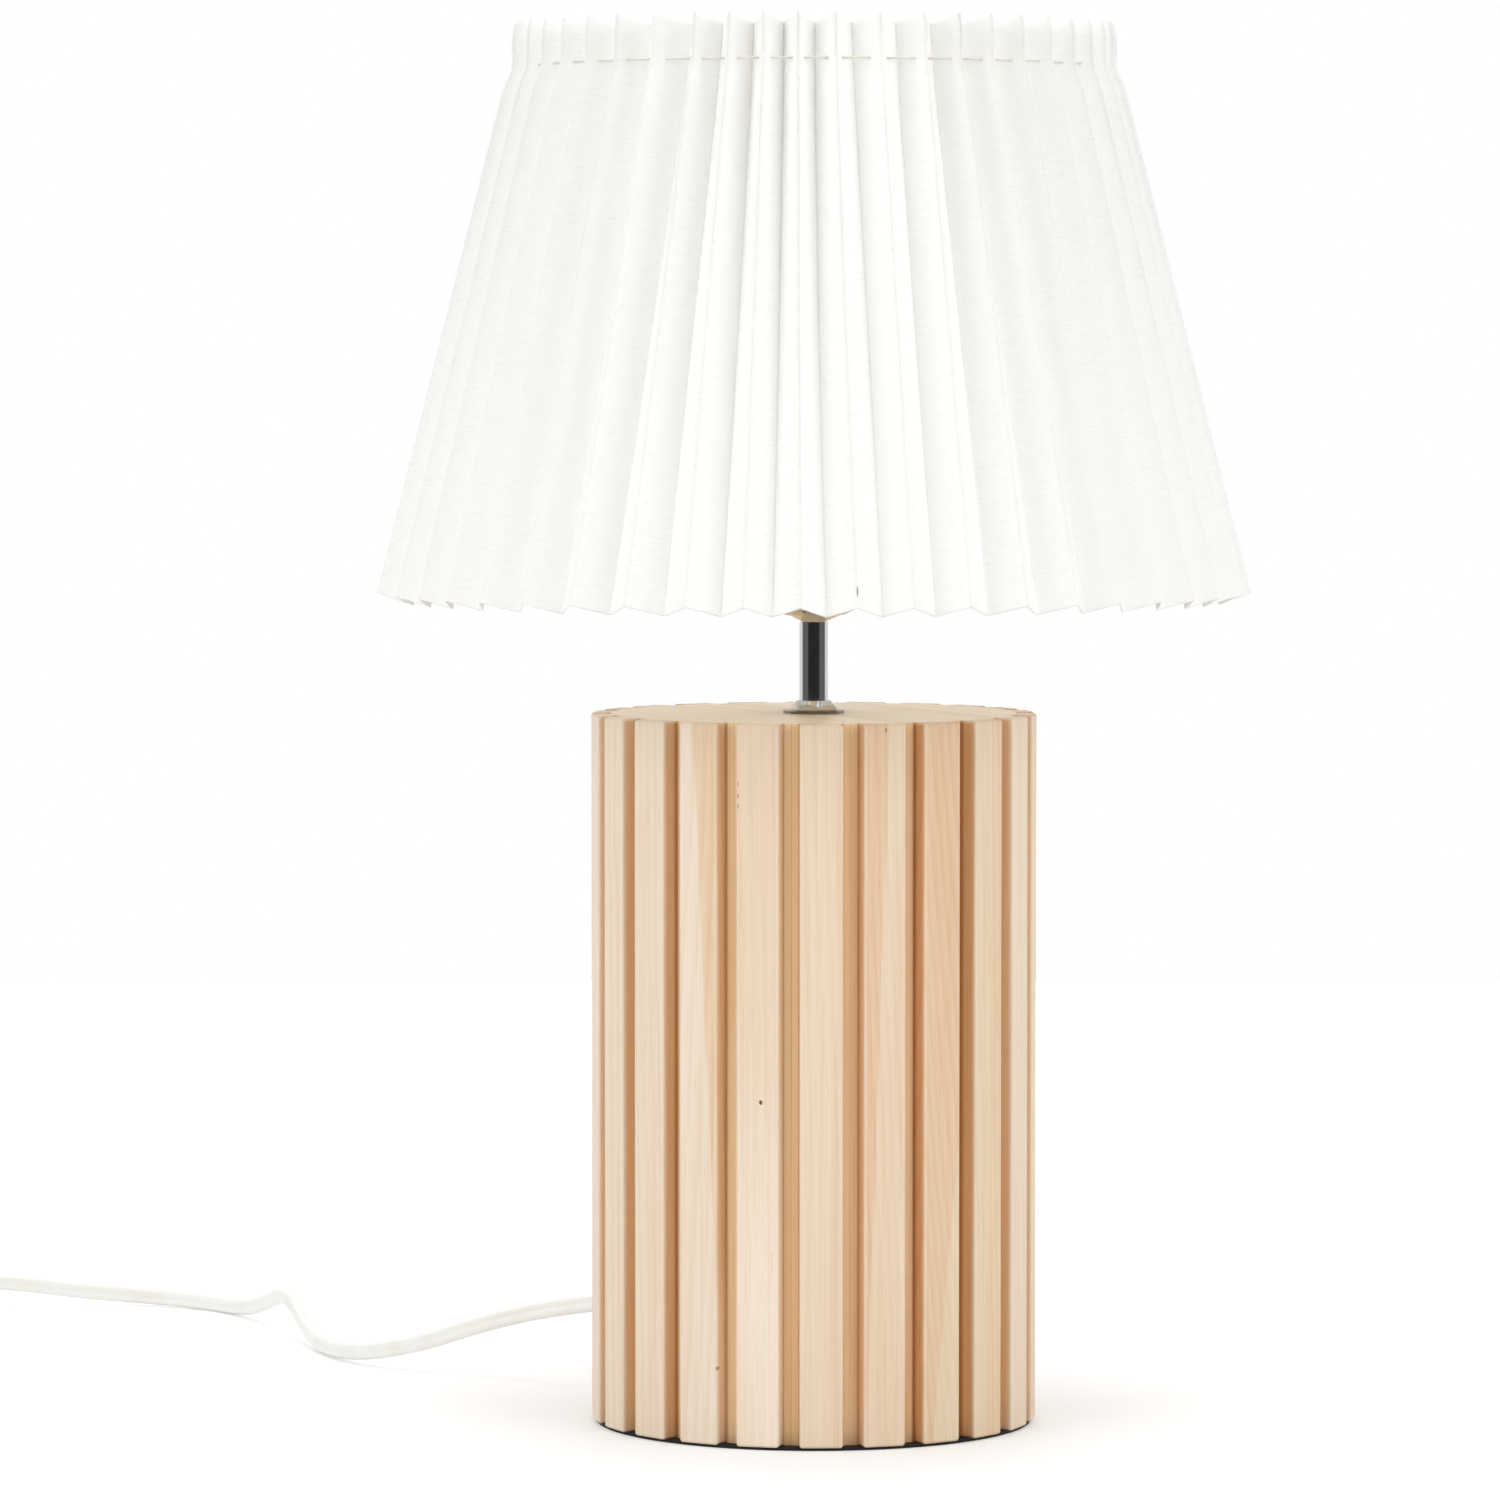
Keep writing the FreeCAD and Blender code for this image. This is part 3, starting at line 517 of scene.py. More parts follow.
@dataclass(frozen=True)
class SlatFinish(WoodFinish):
    """Oiled blond wood of an upright slat, with painted shade down the sides of the grooves, a painted
    shadow in their corners and painted highlights along the long edges.

    Depths are measured inwards from the slat's face, and margins from its long edges.
    """

    face_radius: float
    half_width: float
    top: float
    angle: float
    tint: SlatTone
    shift: Point = (0.731, 0.417, 0.239)
    ragged: float = 1.2 * MM
    heart_blur: float = 0.7 * MM
    bleached: Colour = tone(252, 240, 224)
    bleach_height: Span = (150.0 * MM, 40.0 * MM)
    late: Colour = (0.90, 0.78, 0.64)
    late_share: Span = (0.22, 0.36)
    veils: tuple[Veil, ...] = (
        Veil("Fibre", 0.36, 0.68, 0.62, (0.93, 0.88, 0.81)),
        Veil("Broad", 0.42, 0.66, 0.55, (0.98, 0.92, 0.86)),
        Veil("Streak", 0.55, 0.75, 0.45, (0.93, 0.87, 0.79)),
    )
    pore: Colour = (0.80, 0.68, 0.54)
    pore_share: float = 0.30
    # painted shade: the groove sides darken with depth, where less light reaches them
    groove: Colour = (0.90, 0.71, 0.51)
    groove_shade_depth: Span = (0.3 * MM, 2.4 * MM)
    # painted shadow: the dark crease where the groove side meets the floor
    corner: Colour = (0.62, 0.50, 0.40)
    crease_shade_depth: Span = (4.6 * MM, 6.3 * MM)
    # painted highlight: the pale line of light caught on the rounded long edges
    edge_highlight: Colour = tone(246, 231, 210)
    edge_highlight_share: float = 0.45
    edge_highlight_margin: Span = (1.1 * MM, 0.3 * MM)
    edge_highlight_depth: Span = (0.9 * MM, 0.2 * MM)
    end: Colour = (0.97, 0.94, 0.90)
    end_slope: Span = (0.55, 0.9)
    end_rough: float = -0.2
    mark: Colour = tone(98, 52, 22)
    mark_depth: float = 3.0 * MM
    ring_relief: float = 0.5
    relief: Span = (0.35, 0.08 * MM)
    rough: Span = (0.50, 0.68)
    gloss: float = 0.40

    def paint(self, sketch: MaterialSketch, coords: Wire) -> None:
        """Lay heartwood, grain, painted groove shade, painted edge highlights and marks.

        Args:
            sketch: The material's nodes.
            coords: Coordinates in metres.
        """
        tint = self.tint
        local = sketch.turned(coords, -self.angle)
        shift = scaled(self.shift, tint.seed)
        pith = tuple(a + b for a, b in zip(shift, tint.pith))
        grain = self.grain(sketch, sketch.vector("ADD", local, shift), pith, tint.lean, tint.ring)
        x, y, z = sketch.split(local)

        edge = sketch.calc("MULTIPLY_ADD", sketch.calc("SUBTRACT", z, self.top), tint.lean, tint.edge_at)
        ragged = sketch.calc("MULTIPLY_ADD", grain["Streak"], 2 * self.ragged, -self.ragged)
        side = sketch.calc("ADD", sketch.calc("SUBTRACT", edge, x), ragged)
        blur = self.heart_blur if tint.heart_left else -self.heart_blur
        heart = sketch.step(side, -blur, blur)
        foot = sketch.times(sketch.step(z, *self.bleach_height), tint.bleach)
        colour = sketch.mix(heart, sketch.mix(foot, tint.pale, self.bleached), tint.heart)
        rings = sketch.times(grain["Rings"], sketch.spread(heart, *self.late_share))
        colour = sketch.mix(rings, colour, self.late, "MULTIPLY")
        colour = self.veil(sketch, colour, grain, self.veils)
        colour = sketch.tint(colour, grain["Pores"], self.pore_share, self.pore)

        depth = sketch.calc("ADD", y, self.face_radius)
        upward = sketch.split(sketch.place("Normal"))[2]
        ends = sketch.step(sketch.calc("ABSOLUTE", upward), *self.end_slope)
        # painted shade down the groove sides, deeper towards the floor and scaled per slat; end faces are
        # spared
        wall_shade_share = sketch.times(sketch.calc("SUBTRACT", 1.0, ends), tint.wall_shade)
        for span, shade in ((self.groove_shade_depth, self.groove), (self.crease_shade_depth, self.corner)):
            recess_shade = sketch.times(sketch.step(depth, *span), wall_shade_share)
            colour = sketch.mix(recess_shade, colour, shade, "MULTIPLY")
        # painted highlight along the long edges, where their rounding catches the light
        margin = [self.half_width - inset for inset in self.edge_highlight_margin]
        near_edge = sketch.step(sketch.calc("ABSOLUTE", x), *margin)
        near_face = sketch.step(depth, *self.edge_highlight_depth)
        edge_highlight_mask = sketch.times(sketch.times(near_edge, near_face), self.edge_highlight_share)
        colour = sketch.mix(edge_highlight_mask, colour, self.edge_highlight)
        colour = sketch.mix(ends, colour, self.end, "MULTIPLY")
        for fleck in tint.flecks:
            place = (fleck.x * MM, -self.face_radius, fleck.z * MM)
            size = (fleck.wide * MM, self.mark_depth, fleck.tall * MM)
            mask = sketch.group(self.effects.fleck, Vector=local, Place=place, Size=size)["Mask"]
            colour = sketch.mix(sketch.times(mask, fleck.strength), colour, self.mark)

        height = sketch.calc("MULTIPLY_ADD", grain["Rings"], self.ring_relief, grain["Fibre"])
        rough = sketch.spread(grain["Fibre"], *self.rough)
        sketch.shade({
            "Base Color": colour,
            "Roughness": sketch.calc("MULTIPLY_ADD", ends, self.end_rough, rough),
            "Normal": sketch.bump(height, self.relief),
            "Specular IOR Level": self.gloss,
        })


@dataclass(frozen=True)
class CoreFinish(WoodFinish):
    """Wood of the core drum between the slats, with the glue line of its staves in each groove and painted
    shade in the corners by the slat walls.

    The glue line's half width is in mm, and the width of the corners' painted shade is a share of the
    staves' pitch.
    """

    count: int
    phase: float
    radius: float
    half_gap: float
    colour: Colour = tone(255, 226, 184)
    pith: Point = (0.02, 0.03, 0.0)
    lean: float = 0.03
    ring: float = 2.6 * MM
    late: Colour = (0.96, 0.85, 0.74)
    late_share: float = 0.45
    veils: tuple[Veil, ...] = (Veil("Fibre", 0.36, 0.68, 0.7, (0.95, 0.90, 0.84)),)
    odd: Colour = (0.97, 0.89, 0.81)
    odd_share: float = 0.8
    glue: Colour = tone(150, 98, 60)
    glue_share: float = 0.3
    glue_width: Span = (0.02, 0.26)
    glue_grain: Point = (200.0, 200.0, 14.0)
    # painted shade: the drum floor darkens next to each slat wall
    corner: Colour = (0.72, 0.56, 0.44)
    crease_shade_width: float = 0.03
    relief: Span = (0.4, 0.1 * MM)
    rough: Span = (0.58, 0.75)
    gloss: float = 0.25

    def paint(self, sketch: MaterialSketch, coords: Wire) -> None:
        """Lay grain, staves of differing tone, glue lines and painted shade in the corners by the slat
        walls.

        Args:
            sketch: The material's nodes.
            coords: Coordinates in metres.
        """
        grain = self.grain(sketch, coords, self.pith, self.lean, self.ring)
        colour = sketch.tint(self.colour, grain["Rings"], self.late_share, self.late)
        colour = self.veil(sketch, colour, grain, self.veils)
        x, y, _ = sketch.split(coords)
        pitch = 360.0 / self.count
        pitch_length = self.radius * math.radians(pitch)
        angle = sketch.calc("ARCTAN2", x, sketch.times(y, -1.0))
        staves = sketch.calc("MULTIPLY_ADD", angle, 180.0 / math.pi / pitch, -self.phase / pitch)
        number = sketch.calc("FLOOR", sketch.calc("ADD", staves, 0.5))
        draw = sketch.add("ShaderNodeTexWhiteNoise", {"W": number}, noise_dimensions="1D").outputs["Value"]
        colour = sketch.tint(colour, draw, self.odd_share, self.odd)
        off_line = sketch.calc("ABSOLUTE", sketch.calc("SUBTRACT", sketch.calc("FRACT", staves), 0.5))
        wander = sketch.spread(sketch.noise(coords, self.glue_grain), *self.glue_width)
        line = sketch.calc("LESS_THAN", off_line, sketch.times(wander, MM / pitch_length))
        colour = sketch.mix(sketch.times(line, self.glue_share), colour, self.glue)
        wall = self.half_gap / pitch_length
        crease_shade_mask = sketch.step(off_line, wall - self.crease_shade_width, wall)
        sketch.shade({
            "Base Color": sketch.mix(crease_shade_mask, colour, self.corner, "MULTIPLY"),
            "Roughness": sketch.spread(grain["Fibre"], *self.rough),
            "Normal": sketch.bump(grain["Fibre"], self.relief),
            "Specular IOR Level": self.gloss,
        })


@dataclass(frozen=True)
class BoardFinish(WoodFinish):
    """Flat sawn board of the discs, sanded smooth, with its grain turned from X."""

    turn: float = 58.0
    # partly the wood's own pale tone, partly painted light that makes up for the shade's shadow on the top
    colour: Colour = tone(255, 233, 197)
    pith: Point = (0.021, 0.17, 0.0)
    lean: float = 0.10
    ring: float = 4.6 * MM
    late: Colour = (0.90, 0.79, 0.66)
    late_share: float = 0.55
    veils: tuple[Veil, ...] = (
        Veil("Fibre", 0.36, 0.68, 0.5, (0.93, 0.88, 0.81)),
        Veil("Broad", 0.42, 0.66, 0.5, (0.96, 0.90, 0.82)),
    )
    relief: Span = (0.3, 0.08 * MM)
    rough: Span = (0.30, 0.42)
    gloss: float = 0.50

    def paint(self, sketch: MaterialSketch, coords: Wire) -> None:
        """Lay the grain along the board.

        Args:
            sketch: The material's nodes.
            coords: Coordinates in metres.
        """
        x, y, z = sketch.split(sketch.turned(coords, self.turn))
        grain = self.grain(sketch, sketch.join(y, z, x), self.pith, self.lean, self.ring)
        colour = sketch.tint(self.colour, grain["Rings"], self.late_share, self.late)
        sketch.shade({
            "Base Color": self.veil(sketch, colour, grain, self.veils),
            "Roughness": sketch.spread(grain["Fibre"], *self.rough),
            "Normal": sketch.bump(grain["Fibre"], self.relief),
            "Specular IOR Level": self.gloss,
        })


@dataclass(frozen=True)
class MetalFinish(Finish):
    """Bare or plated metal with fine drawing marks and edges rounded by a small radius."""

    colour: Colour
    rough: float
    stretch: Point = (2500.0, 2500.0, 40.0)
    edge: float = 0.05 * MM
    dull: float = 0.90
    patch_share: float = 0.6
    line_share: float = 0.4
    rough_span: Span = (0.7, 1.3)
    relief: Span = (0.08, 0.02 * MM)

    def paint(self, sketch: MaterialSketch, coords: Wire) -> None:
        """Lay drawing marks and duller patches.

        Args:
            sketch: The material's nodes.
            coords: Coordinates in metres.
        """
        marks = sketch.group(self.effects.drawn, Vector=coords, Stretch=self.stretch)
        lines = sketch.times(marks["Lines"], self.line_share)
        worn = sketch.calc("MULTIPLY_ADD", marks["Patches"], self.patch_share, lines)
        rounded = sketch.add("ShaderNodeBevel", {"Radius": self.edge}).outputs[0]
        sketch.shade({
            "Base Color": sketch.mix(marks["Patches"], self.colour, scaled(self.colour, self.dull)),
            "Roughness": sketch.spread(worn, *scaled(self.rough_span, self.rough)),
            "Normal": sketch.bump(marks["Lines"], self.relief, Normal=rounded),
            "Metallic": 1.0,
        })


@dataclass(frozen=True)
class MouldedFinish(Finish):
    """Moulded plastic, rubber, ceramic or paint with a fine uneven grain, whose bump is in mm."""

    colour: Colour
    rough: float
    scale: float = 1400.0
    bump: float = 0.03
    coat: float = 0.0
    soil: float = 0.94
    rough_span: Span = (0.85, 1.15)
    bump_strength: float = 0.5

    def paint(self, sketch: MaterialSketch, coords: Wire) -> None:
        """Lay the grain and faint soiling.

        Args:
            sketch: The material's nodes.
            coords: Coordinates in metres.
        """
        grain = sketch.group(self.effects.speck, Vector=coords, Scale=self.scale)
        sketch.shade({
            "Base Color": sketch.mix(grain["Coarse"], self.colour, scaled(self.colour, self.soil)),
            "Roughness": sketch.spread(grain["Fine"], *scaled(self.rough_span, self.rough)),
            "Normal": sketch.bump(grain["Fine"], (self.bump_strength, self.bump * MM)),
            "Coat Weight": self.coat,
        })


@dataclass(frozen=True)
class PleatClothFinish(Finish):
    """Off-white shade cloth: fine plain weave, a little slubby, that lets some light through."""

    seam: Vector
    colour: Colour = tone(251, 251, 248)
    thread: float = 0.55 * MM
    mean_radius: float = 118.0 * MM
    slub_grain: Point = (260.0, 260.0, 1500.0)
    slub_span: Span = (0.45, 0.75)
    slub_tone: float = 0.955
    cloud_grain: Point = (30.0, 30.0, 14.0)
    cloud_span: Span = (0.45, 0.7)
    cloud_share: float = 0.5
    warm: Colour = (1.0, 0.985, 0.955)
    # painted shade: the dark inside of the shade seen through the small gap at the seam
    seam_gap_shade: Colour = tone(150, 146, 138)
    seam_gap_shade_size: Point = (0.3 * MM, 4.0 * MM, 2.4 * MM)
    weave_relief: float = 0.35
    relief: Span = (0.25, 0.06 * MM)
    rough: Span = (0.78, 0.92)
    gloss: float = 0.2
    glow: float = 0.42
    glow_radius: Point = (1.0, 1.0, 0.92)
    glow_scale: float = 1.0 * MM

    def paint(self, sketch: MaterialSketch, coords: Wire) -> None:
        """Lay slubs, warm clouds, the painted shade in the gap at the seam and the weave.

        Args:
            sketch: The material's nodes.
            coords: Coordinates in metres.
        """
        x, y, z = sketch.split(coords)
        around = sketch.calc("ARCTAN2", x, y)
        warp = sketch.calc("SINE", sketch.times(around, self.mean_radius * math.tau / self.thread))
        weft = sketch.calc("SINE", sketch.times(z, math.tau / self.thread))
        slub = sketch.noise(coords, self.slub_grain)
        clouds = sketch.step(sketch.noise(coords, self.cloud_grain), *self.cloud_span)
        slubby = sketch.step(slub, *self.slub_span)
        warm = tuple(part * share for part, share in zip(self.colour, self.warm))
        colour = sketch.mix(slubby, self.colour, scaled(self.colour, self.slub_tone))
        colour = sketch.mix(sketch.times(clouds, self.cloud_share), colour, warm)
        seam_gap_shade = sketch.group(self.effects.fleck, Vector=coords, Place=tuple(self.seam), Size=self.seam_gap_shade_size)
        height = sketch.calc("MULTIPLY_ADD", sketch.times(warp, weft), self.weave_relief, slub)
        sketch.shade({
            "Base Color": sketch.mix(seam_gap_shade["Mask"], colour, self.seam_gap_shade),
            "Roughness": sketch.spread(slub, *self.rough),
            "Normal": sketch.bump(height, self.relief),
            "Specular IOR Level": self.gloss,
            "Subsurface Weight": self.glow,
            "Subsurface Radius": self.glow_radius,
            "Subsurface Scale": self.glow_scale,
        })


@dataclass(frozen=True)
class CordFinish(Finish):
    """Milky sheath of the twin cord, a little cloudy."""

    colour: Colour = tone(252, 252, 247)
    cloud: Colour = tone(247, 246, 240)
    cloud_span: Span = (0.40, 0.65)
    scale: float = 700.0
    relief: Span = (0.3, 0.03 * MM)
    rough: Span = (0.30, 0.42)
    coat: float = 0.15

    def paint(self, sketch: MaterialSketch, coords: Wire) -> None:
        """Lay the cloudy sheath.

        Args:
            sketch: The material's nodes.
            coords: Coordinates in metres.
        """
        grain = sketch.group(self.effects.speck, Vector=coords, Scale=self.scale)
        cloudy = sketch.step(grain["Coarse"], *self.cloud_span)
        sketch.shade({
            "Base Color": sketch.mix(cloudy, self.colour, self.cloud),
            "Roughness": sketch.spread(grain["Fine"], *self.rough),
            "Normal": sketch.bump(grain["Fine"], self.relief),
            "Coat Weight": self.coat,
        })


@dataclass
class Studio:
    """Camera at the photograph's angle, pale floor and soft light from both sides, behind and above."""

    lens: float = 177.98
    sensor: float = 36.0
    clip_end: float = 50.0
    camera_place: Point = (0.0, -2.5504, 0.3794)
    camera_down: float = 3.315
    camera_left: float = 0.493
    floor_half: float = 1.7
    floor_front: float = -1.2
    floor_drop: float = 0.1 * MM
    floor_colour: Colour = (0.80, 0.80, 0.80)
    floor_reach: Span = (0.45, 1.5)
    floor_lift: float = 0.26
    floor_far_lift: float = 0.75
    side_power: float = 14.6
    side_size: float = 1.5
    side_distance: float = 2.1
    side_angle: float = 50.0
    side_height: float = 1.1
    side_aim: Point = (0.0, 0.0, 0.24)
    back_power: float = 9.0
    top_power: float = 17.0
    top_size: float = 1.4
    top_place: Point = (0.0, 0.05, 2.2)
    top_aim: Point = (0.0, 0.0, 0.1)
    fill: float = 0.58
    mirror_dark: float = 0.03
    mirror_band: float = 0.13
    backdrop_span: Span = (0.05, 0.30)
    band_span: Span = (0.62, 0.80)
    ceiling_span: Span = (0.30, 0.60)

    def build(self) -> None:
        """Make the camera, the floor, the lights and the world."""
        bpy.context.scene.view_settings.view_transform = "Standard"
        self._camera()
        self._floor()
        softboxes = (
            ("softbox", -self.side_angle, self.side_power),
            ("softbox", self.side_angle, self.side_power),
            ("softbox_back", 180.0, self.back_power),
        )
        for name, angle, power in softboxes:
            place = polar(self.side_distance, angle, self.side_height)
            self._light(name, place, self.side_aim, self.side_size, power)
        self._light("overhead", self.top_place, self.top_aim, self.top_size, self.top_power)
        self._world()

    def _camera(self) -> None:
        """Place the camera and make it the scene's own."""
        data = bpy.data.cameras.new("camera")
        data.lens = self.lens
        data.sensor_width = self.sensor
        data.clip_end = self.clip_end
        camera = bpy.data.objects.new("camera", data)
        camera.location = self.camera_place
        camera.rotation_euler = (math.radians(90.0 - self.camera_down), 0.0, math.radians(self.camera_left))
        link(camera)
        bpy.context.scene.camera = camera

    def _floor(self) -> None:
        """Pale floor that reads as white to the camera and keeps the lamp's shadow."""
        half = self.floor_half
        front = self.floor_front
        mesh = bpy.data.meshes.new("floor")
        corners = [(-half, front, 0.0), (half, front, 0.0), (half, half, 0.0), (-half, half, 0.0)]
        mesh.from_pydata(corners, [], [(0, 1, 2, 3)])
        floor = bpy.data.objects.new("floor", mesh)
        floor.location.z = -self.floor_drop
        link(floor)
        sketch = MaterialSketch("floor")
        sketch.shade({"Base Color": self.floor_colour, "Roughness": 1.0, "Specular IOR Level": 0.0})
        far = sketch.step(sketch.length(sketch.place()), *self.floor_reach)
        lift = sketch.calc("MULTIPLY_ADD", far, self.floor_far_lift - self.floor_lift, self.floor_lift)
        seen = sketch.calc("MAXIMUM", *self._rays(sketch))
        glow = sketch.add("ShaderNodeEmission", {"Strength": sketch.times(seen, lift)})
        both = sketch.add("ShaderNodeAddShader", {0: sketch.shader.outputs[0], 1: glow.outputs[0]})
        sketch.feed(sketch.tree.nodes["Material Output"].inputs["Surface"], both.outputs[0])
        dress(floor, sketch.material)

    @staticmethod
    def _rays(sketch: NodeSketch) -> tuple[Wire, Wire]:
        """Tell rays apart.

        Args:
            sketch: The nodes to add to.

        Returns:
            Masks of the camera's own rays, and of those by way of a mirror or glass.
        """
        path = sketch.add("ShaderNodeLightPath").outputs
        mirror = sketch.calc("MAXIMUM", path["Is Glossy Ray"], path["Is Transmission Ray"])
        return path["Is Camera Ray"], mirror

    @staticmethod
    def _light(name: str, place: Sequence[float], aim: Point, size: float, power: float) -> None:
        """Add one square area light that no mirror shows.

        Args:
            name: Light's name.
            place: Where it stands.
            aim: Point that it looks at.
            size: Length of its sides.
            power: Its power in watts.
        """
        data = bpy.data.lights.new(name, "AREA")
        data.shape = "SQUARE"
        data.size = size
        data.energy = power
        light = bpy.data.objects.new(name, data)
        light.location = place
        light.rotation_euler = (Vector(aim) - Vector(place)).to_track_quat("-Z", "Y").to_euler()
        light.visible_glossy = False
        link(light)

    def _world(self) -> None:
        """White backdrop and even fill. Mirrors show a dark room in front, with grey bands at its sides."""
        world = bpy.data.worlds.new("studio")
        world.use_nodes = True
        bpy.context.scene.world = world
        sketch = NodeSketch(world.node_tree)
        across, ahead, above = sketch.split(sketch.add("ShaderNodeTexCoord").outputs["Generated"])
        behind = sketch.step(ahead, *self.backdrop_span)
        band = sketch.step(sketch.calc("ABSOLUTE", across), *self.band_span)
        room = sketch.calc("MULTIPLY_ADD", band, self.mirror_band, self.mirror_dark)
        ceiling = sketch.step(above, *self.ceiling_span)
        mirrored = sketch.calc("MAXIMUM", sketch.calc("MAXIMUM", behind, ceiling), room)
        seen, in_mirror = self._rays(sketch)
        fill = sketch.add("ShaderNodeMix", {0: in_mirror, 2: self.fill, 3: mirrored}).outputs[0]
        backdrop = world.node_tree.nodes["Background"]
        sketch.feed(backdrop.inputs["Color"], (1.0, 1.0, 1.0))
        sketch.feed(backdrop.inputs["Strength"], sketch.calc("MAXIMUM", fill, seen))


@dataclass
class SlatBase:
    """Drum base: upright slats round a core, discs and foot pad.

    The spans are what the figures of the slats at the back are drawn from. Edge and ring are in mm.
    """

    effects: Effects
    count: int = 22
    phase: float = 2.0
    face_radius: float = 76.4 * MM
    drum_radius: float = 69.9 * MM
    slat_width: float = 14.6 * MM
    height: float = 244.5 * MM
    pale_tones: tuple[Colour, ...] = (
        tone(240, 221, 197),
        tone(243, 227, 206),
        tone(238, 218, 191),
        tone(245, 230, 211),
    )
    heart_tones: tuple[Colour, ...] = (tone(239, 214, 185), tone(235, 206, 175), tone(239, 215, 188))
    seed: int = 22
    edge_span: Span = (-12.0, 24.0)
    lean_span: Span = (-0.05, 0.06)
    ring_span: Span = (2.3, 3.8)
    pith_x_span: Span = (-0.10, 0.10)
    pith_y_span: Span = (-0.04, 0.02)
    foam: Colour = tone(30, 30, 32)

    def seen_tones(self) -> dict[int, SlatTone]:
        """Figure of the slats that face the camera.

        Returns:
            The figures by slat number.
        """
        far = 40.0
        resin = [Fleck(-6.6, height, 0.3, 1.2, 0.55) for height in (224.5, 220.5, 217.0)]
        flecks = {
            2: (Fleck(0.2, 242.5, 0.45, 1.0, 0.7),),
            21: (Fleck(7.4, 27.0, 0.5, 1.0, 0.6),),
            22: (Fleck(1.3, 117.6, 0.75, 0.95, 0.95), *resin),
        }
        bleach = {22: 0.8}
        # share of the painted shade down the groove sides, slat by slat
        wall_shade = {1: 0.5, 2: 0.45, 21: 0.6, 22: 0.3}
        # Number, pale tone, heart tone, edge in mm, lean, heartwood on the left, ring in mm, pith's x and y
        rows = (
            (18, 3, 2, far, 0.010, False, 3.1, 0.05, 0.02),
            (19, 1, 2, far, 0.020, False, 3.4, -0.07, 0.01),
            (20, 1, 0, far, 0.020, False, 3.0, 0.09, -0.03),
            (21, 3, 0, -2.0, -0.050, False, 2.6, -0.05, -0.02),
            (22, 0, 2, far, 0.012, False, 3.6, 0.10, 0.0),
            (1, 0, 2, 5.6, 0.015, False, 3.8, -0.11, -0.02),
            (2, 0, 1, 1.5, 0.034, True, 2.4, -0.045, -0.03),
            (3, 2, 1, 22.2, 0.108, True, 2.8, 0.07, -0.04),
            (4, 2, 0, 2.0, 0.012, False, 2.2, 0.06, -0.03),
            (5, 1, 2, far, 0.020, False, 2.9, 0.08, 0.02),
            (6, 0, 1, far, 0.020, False, 3.0, -0.06, 0.02),
        )
        return {
            number: SlatTone(
                self.pale_tones[pale],
                self.heart_tones[heart],
                edge * MM,
                lean,
                left,
                ring * MM,
                (x, y, 0.0),
                float(number),
                flecks.get(number, ()),
                bleach.get(number, 0.0),
                wall_shade.get(number, 1.0),
            )
            for number, pale, heart, edge, lean, left, ring, x, y in rows
        }

    def slat_tones(self) -> dict[int, SlatTone]:
        """Figure of every slat: the seen ones, and drawn ones at the back.

        Returns:
            The figures by slat number.
        """
        draw = random.Random(self.seed)
        tones = {}
        for number in range(1, self.count + 1):
            pale = draw.choice(self.pale_tones)
            heart = draw.choice(self.heart_tones)
            edge = draw.uniform(*self.edge_span) * MM
            lean = draw.uniform(*self.lean_span)
            ring = draw.uniform(*self.ring_span) * MM
            pith = (draw.uniform(*self.pith_x_span), draw.uniform(*self.pith_y_span), 0.0)
            left = draw.random() < 0.5
            tones[number] = SlatTone(pale, heart, edge, lean, left, ring, pith, float(number))
        tones.update(self.seen_tones())
        return tones

    def dress(self) -> None:
        """Give the base's pieces their finishes."""
        pitch = 360.0 / self.count
        half_width = self.slat_width / 2
        for number, tint in self.slat_tones().items():
            angle = self.phase + (number - 1) * pitch
            finish = SlatFinish(self.effects, self.face_radius, half_width, self.height, angle, tint)
            dress(cad_nodes[f"slat_{number:02d}"], finish.build(f"slat_wood_{number:02d}"))
        half_gap = self.drum_radius * math.radians(pitch) / 2 - half_width
        core = CoreFinish(self.effects, self.count, self.phase, self.drum_radius, half_gap)
        staves = core.build("drum_wood")
        board = BoardFinish(self.effects).build("disc_wood")
        dress(cad_nodes["core_drum"], staves)
        dress(cad_nodes["top_disc"], board, staves)
        dress(cad_nodes["bottom_disc"], board)
        pad = MouldedFinish(self.effects, self.foam, rough=0.85, scale=900.0, bump=0.25)
        dress_nodes([(pad, "foot_rubber", "foot_pad")])
        log.info("base: %d slats, drum, discs and pad dressed", self.count)


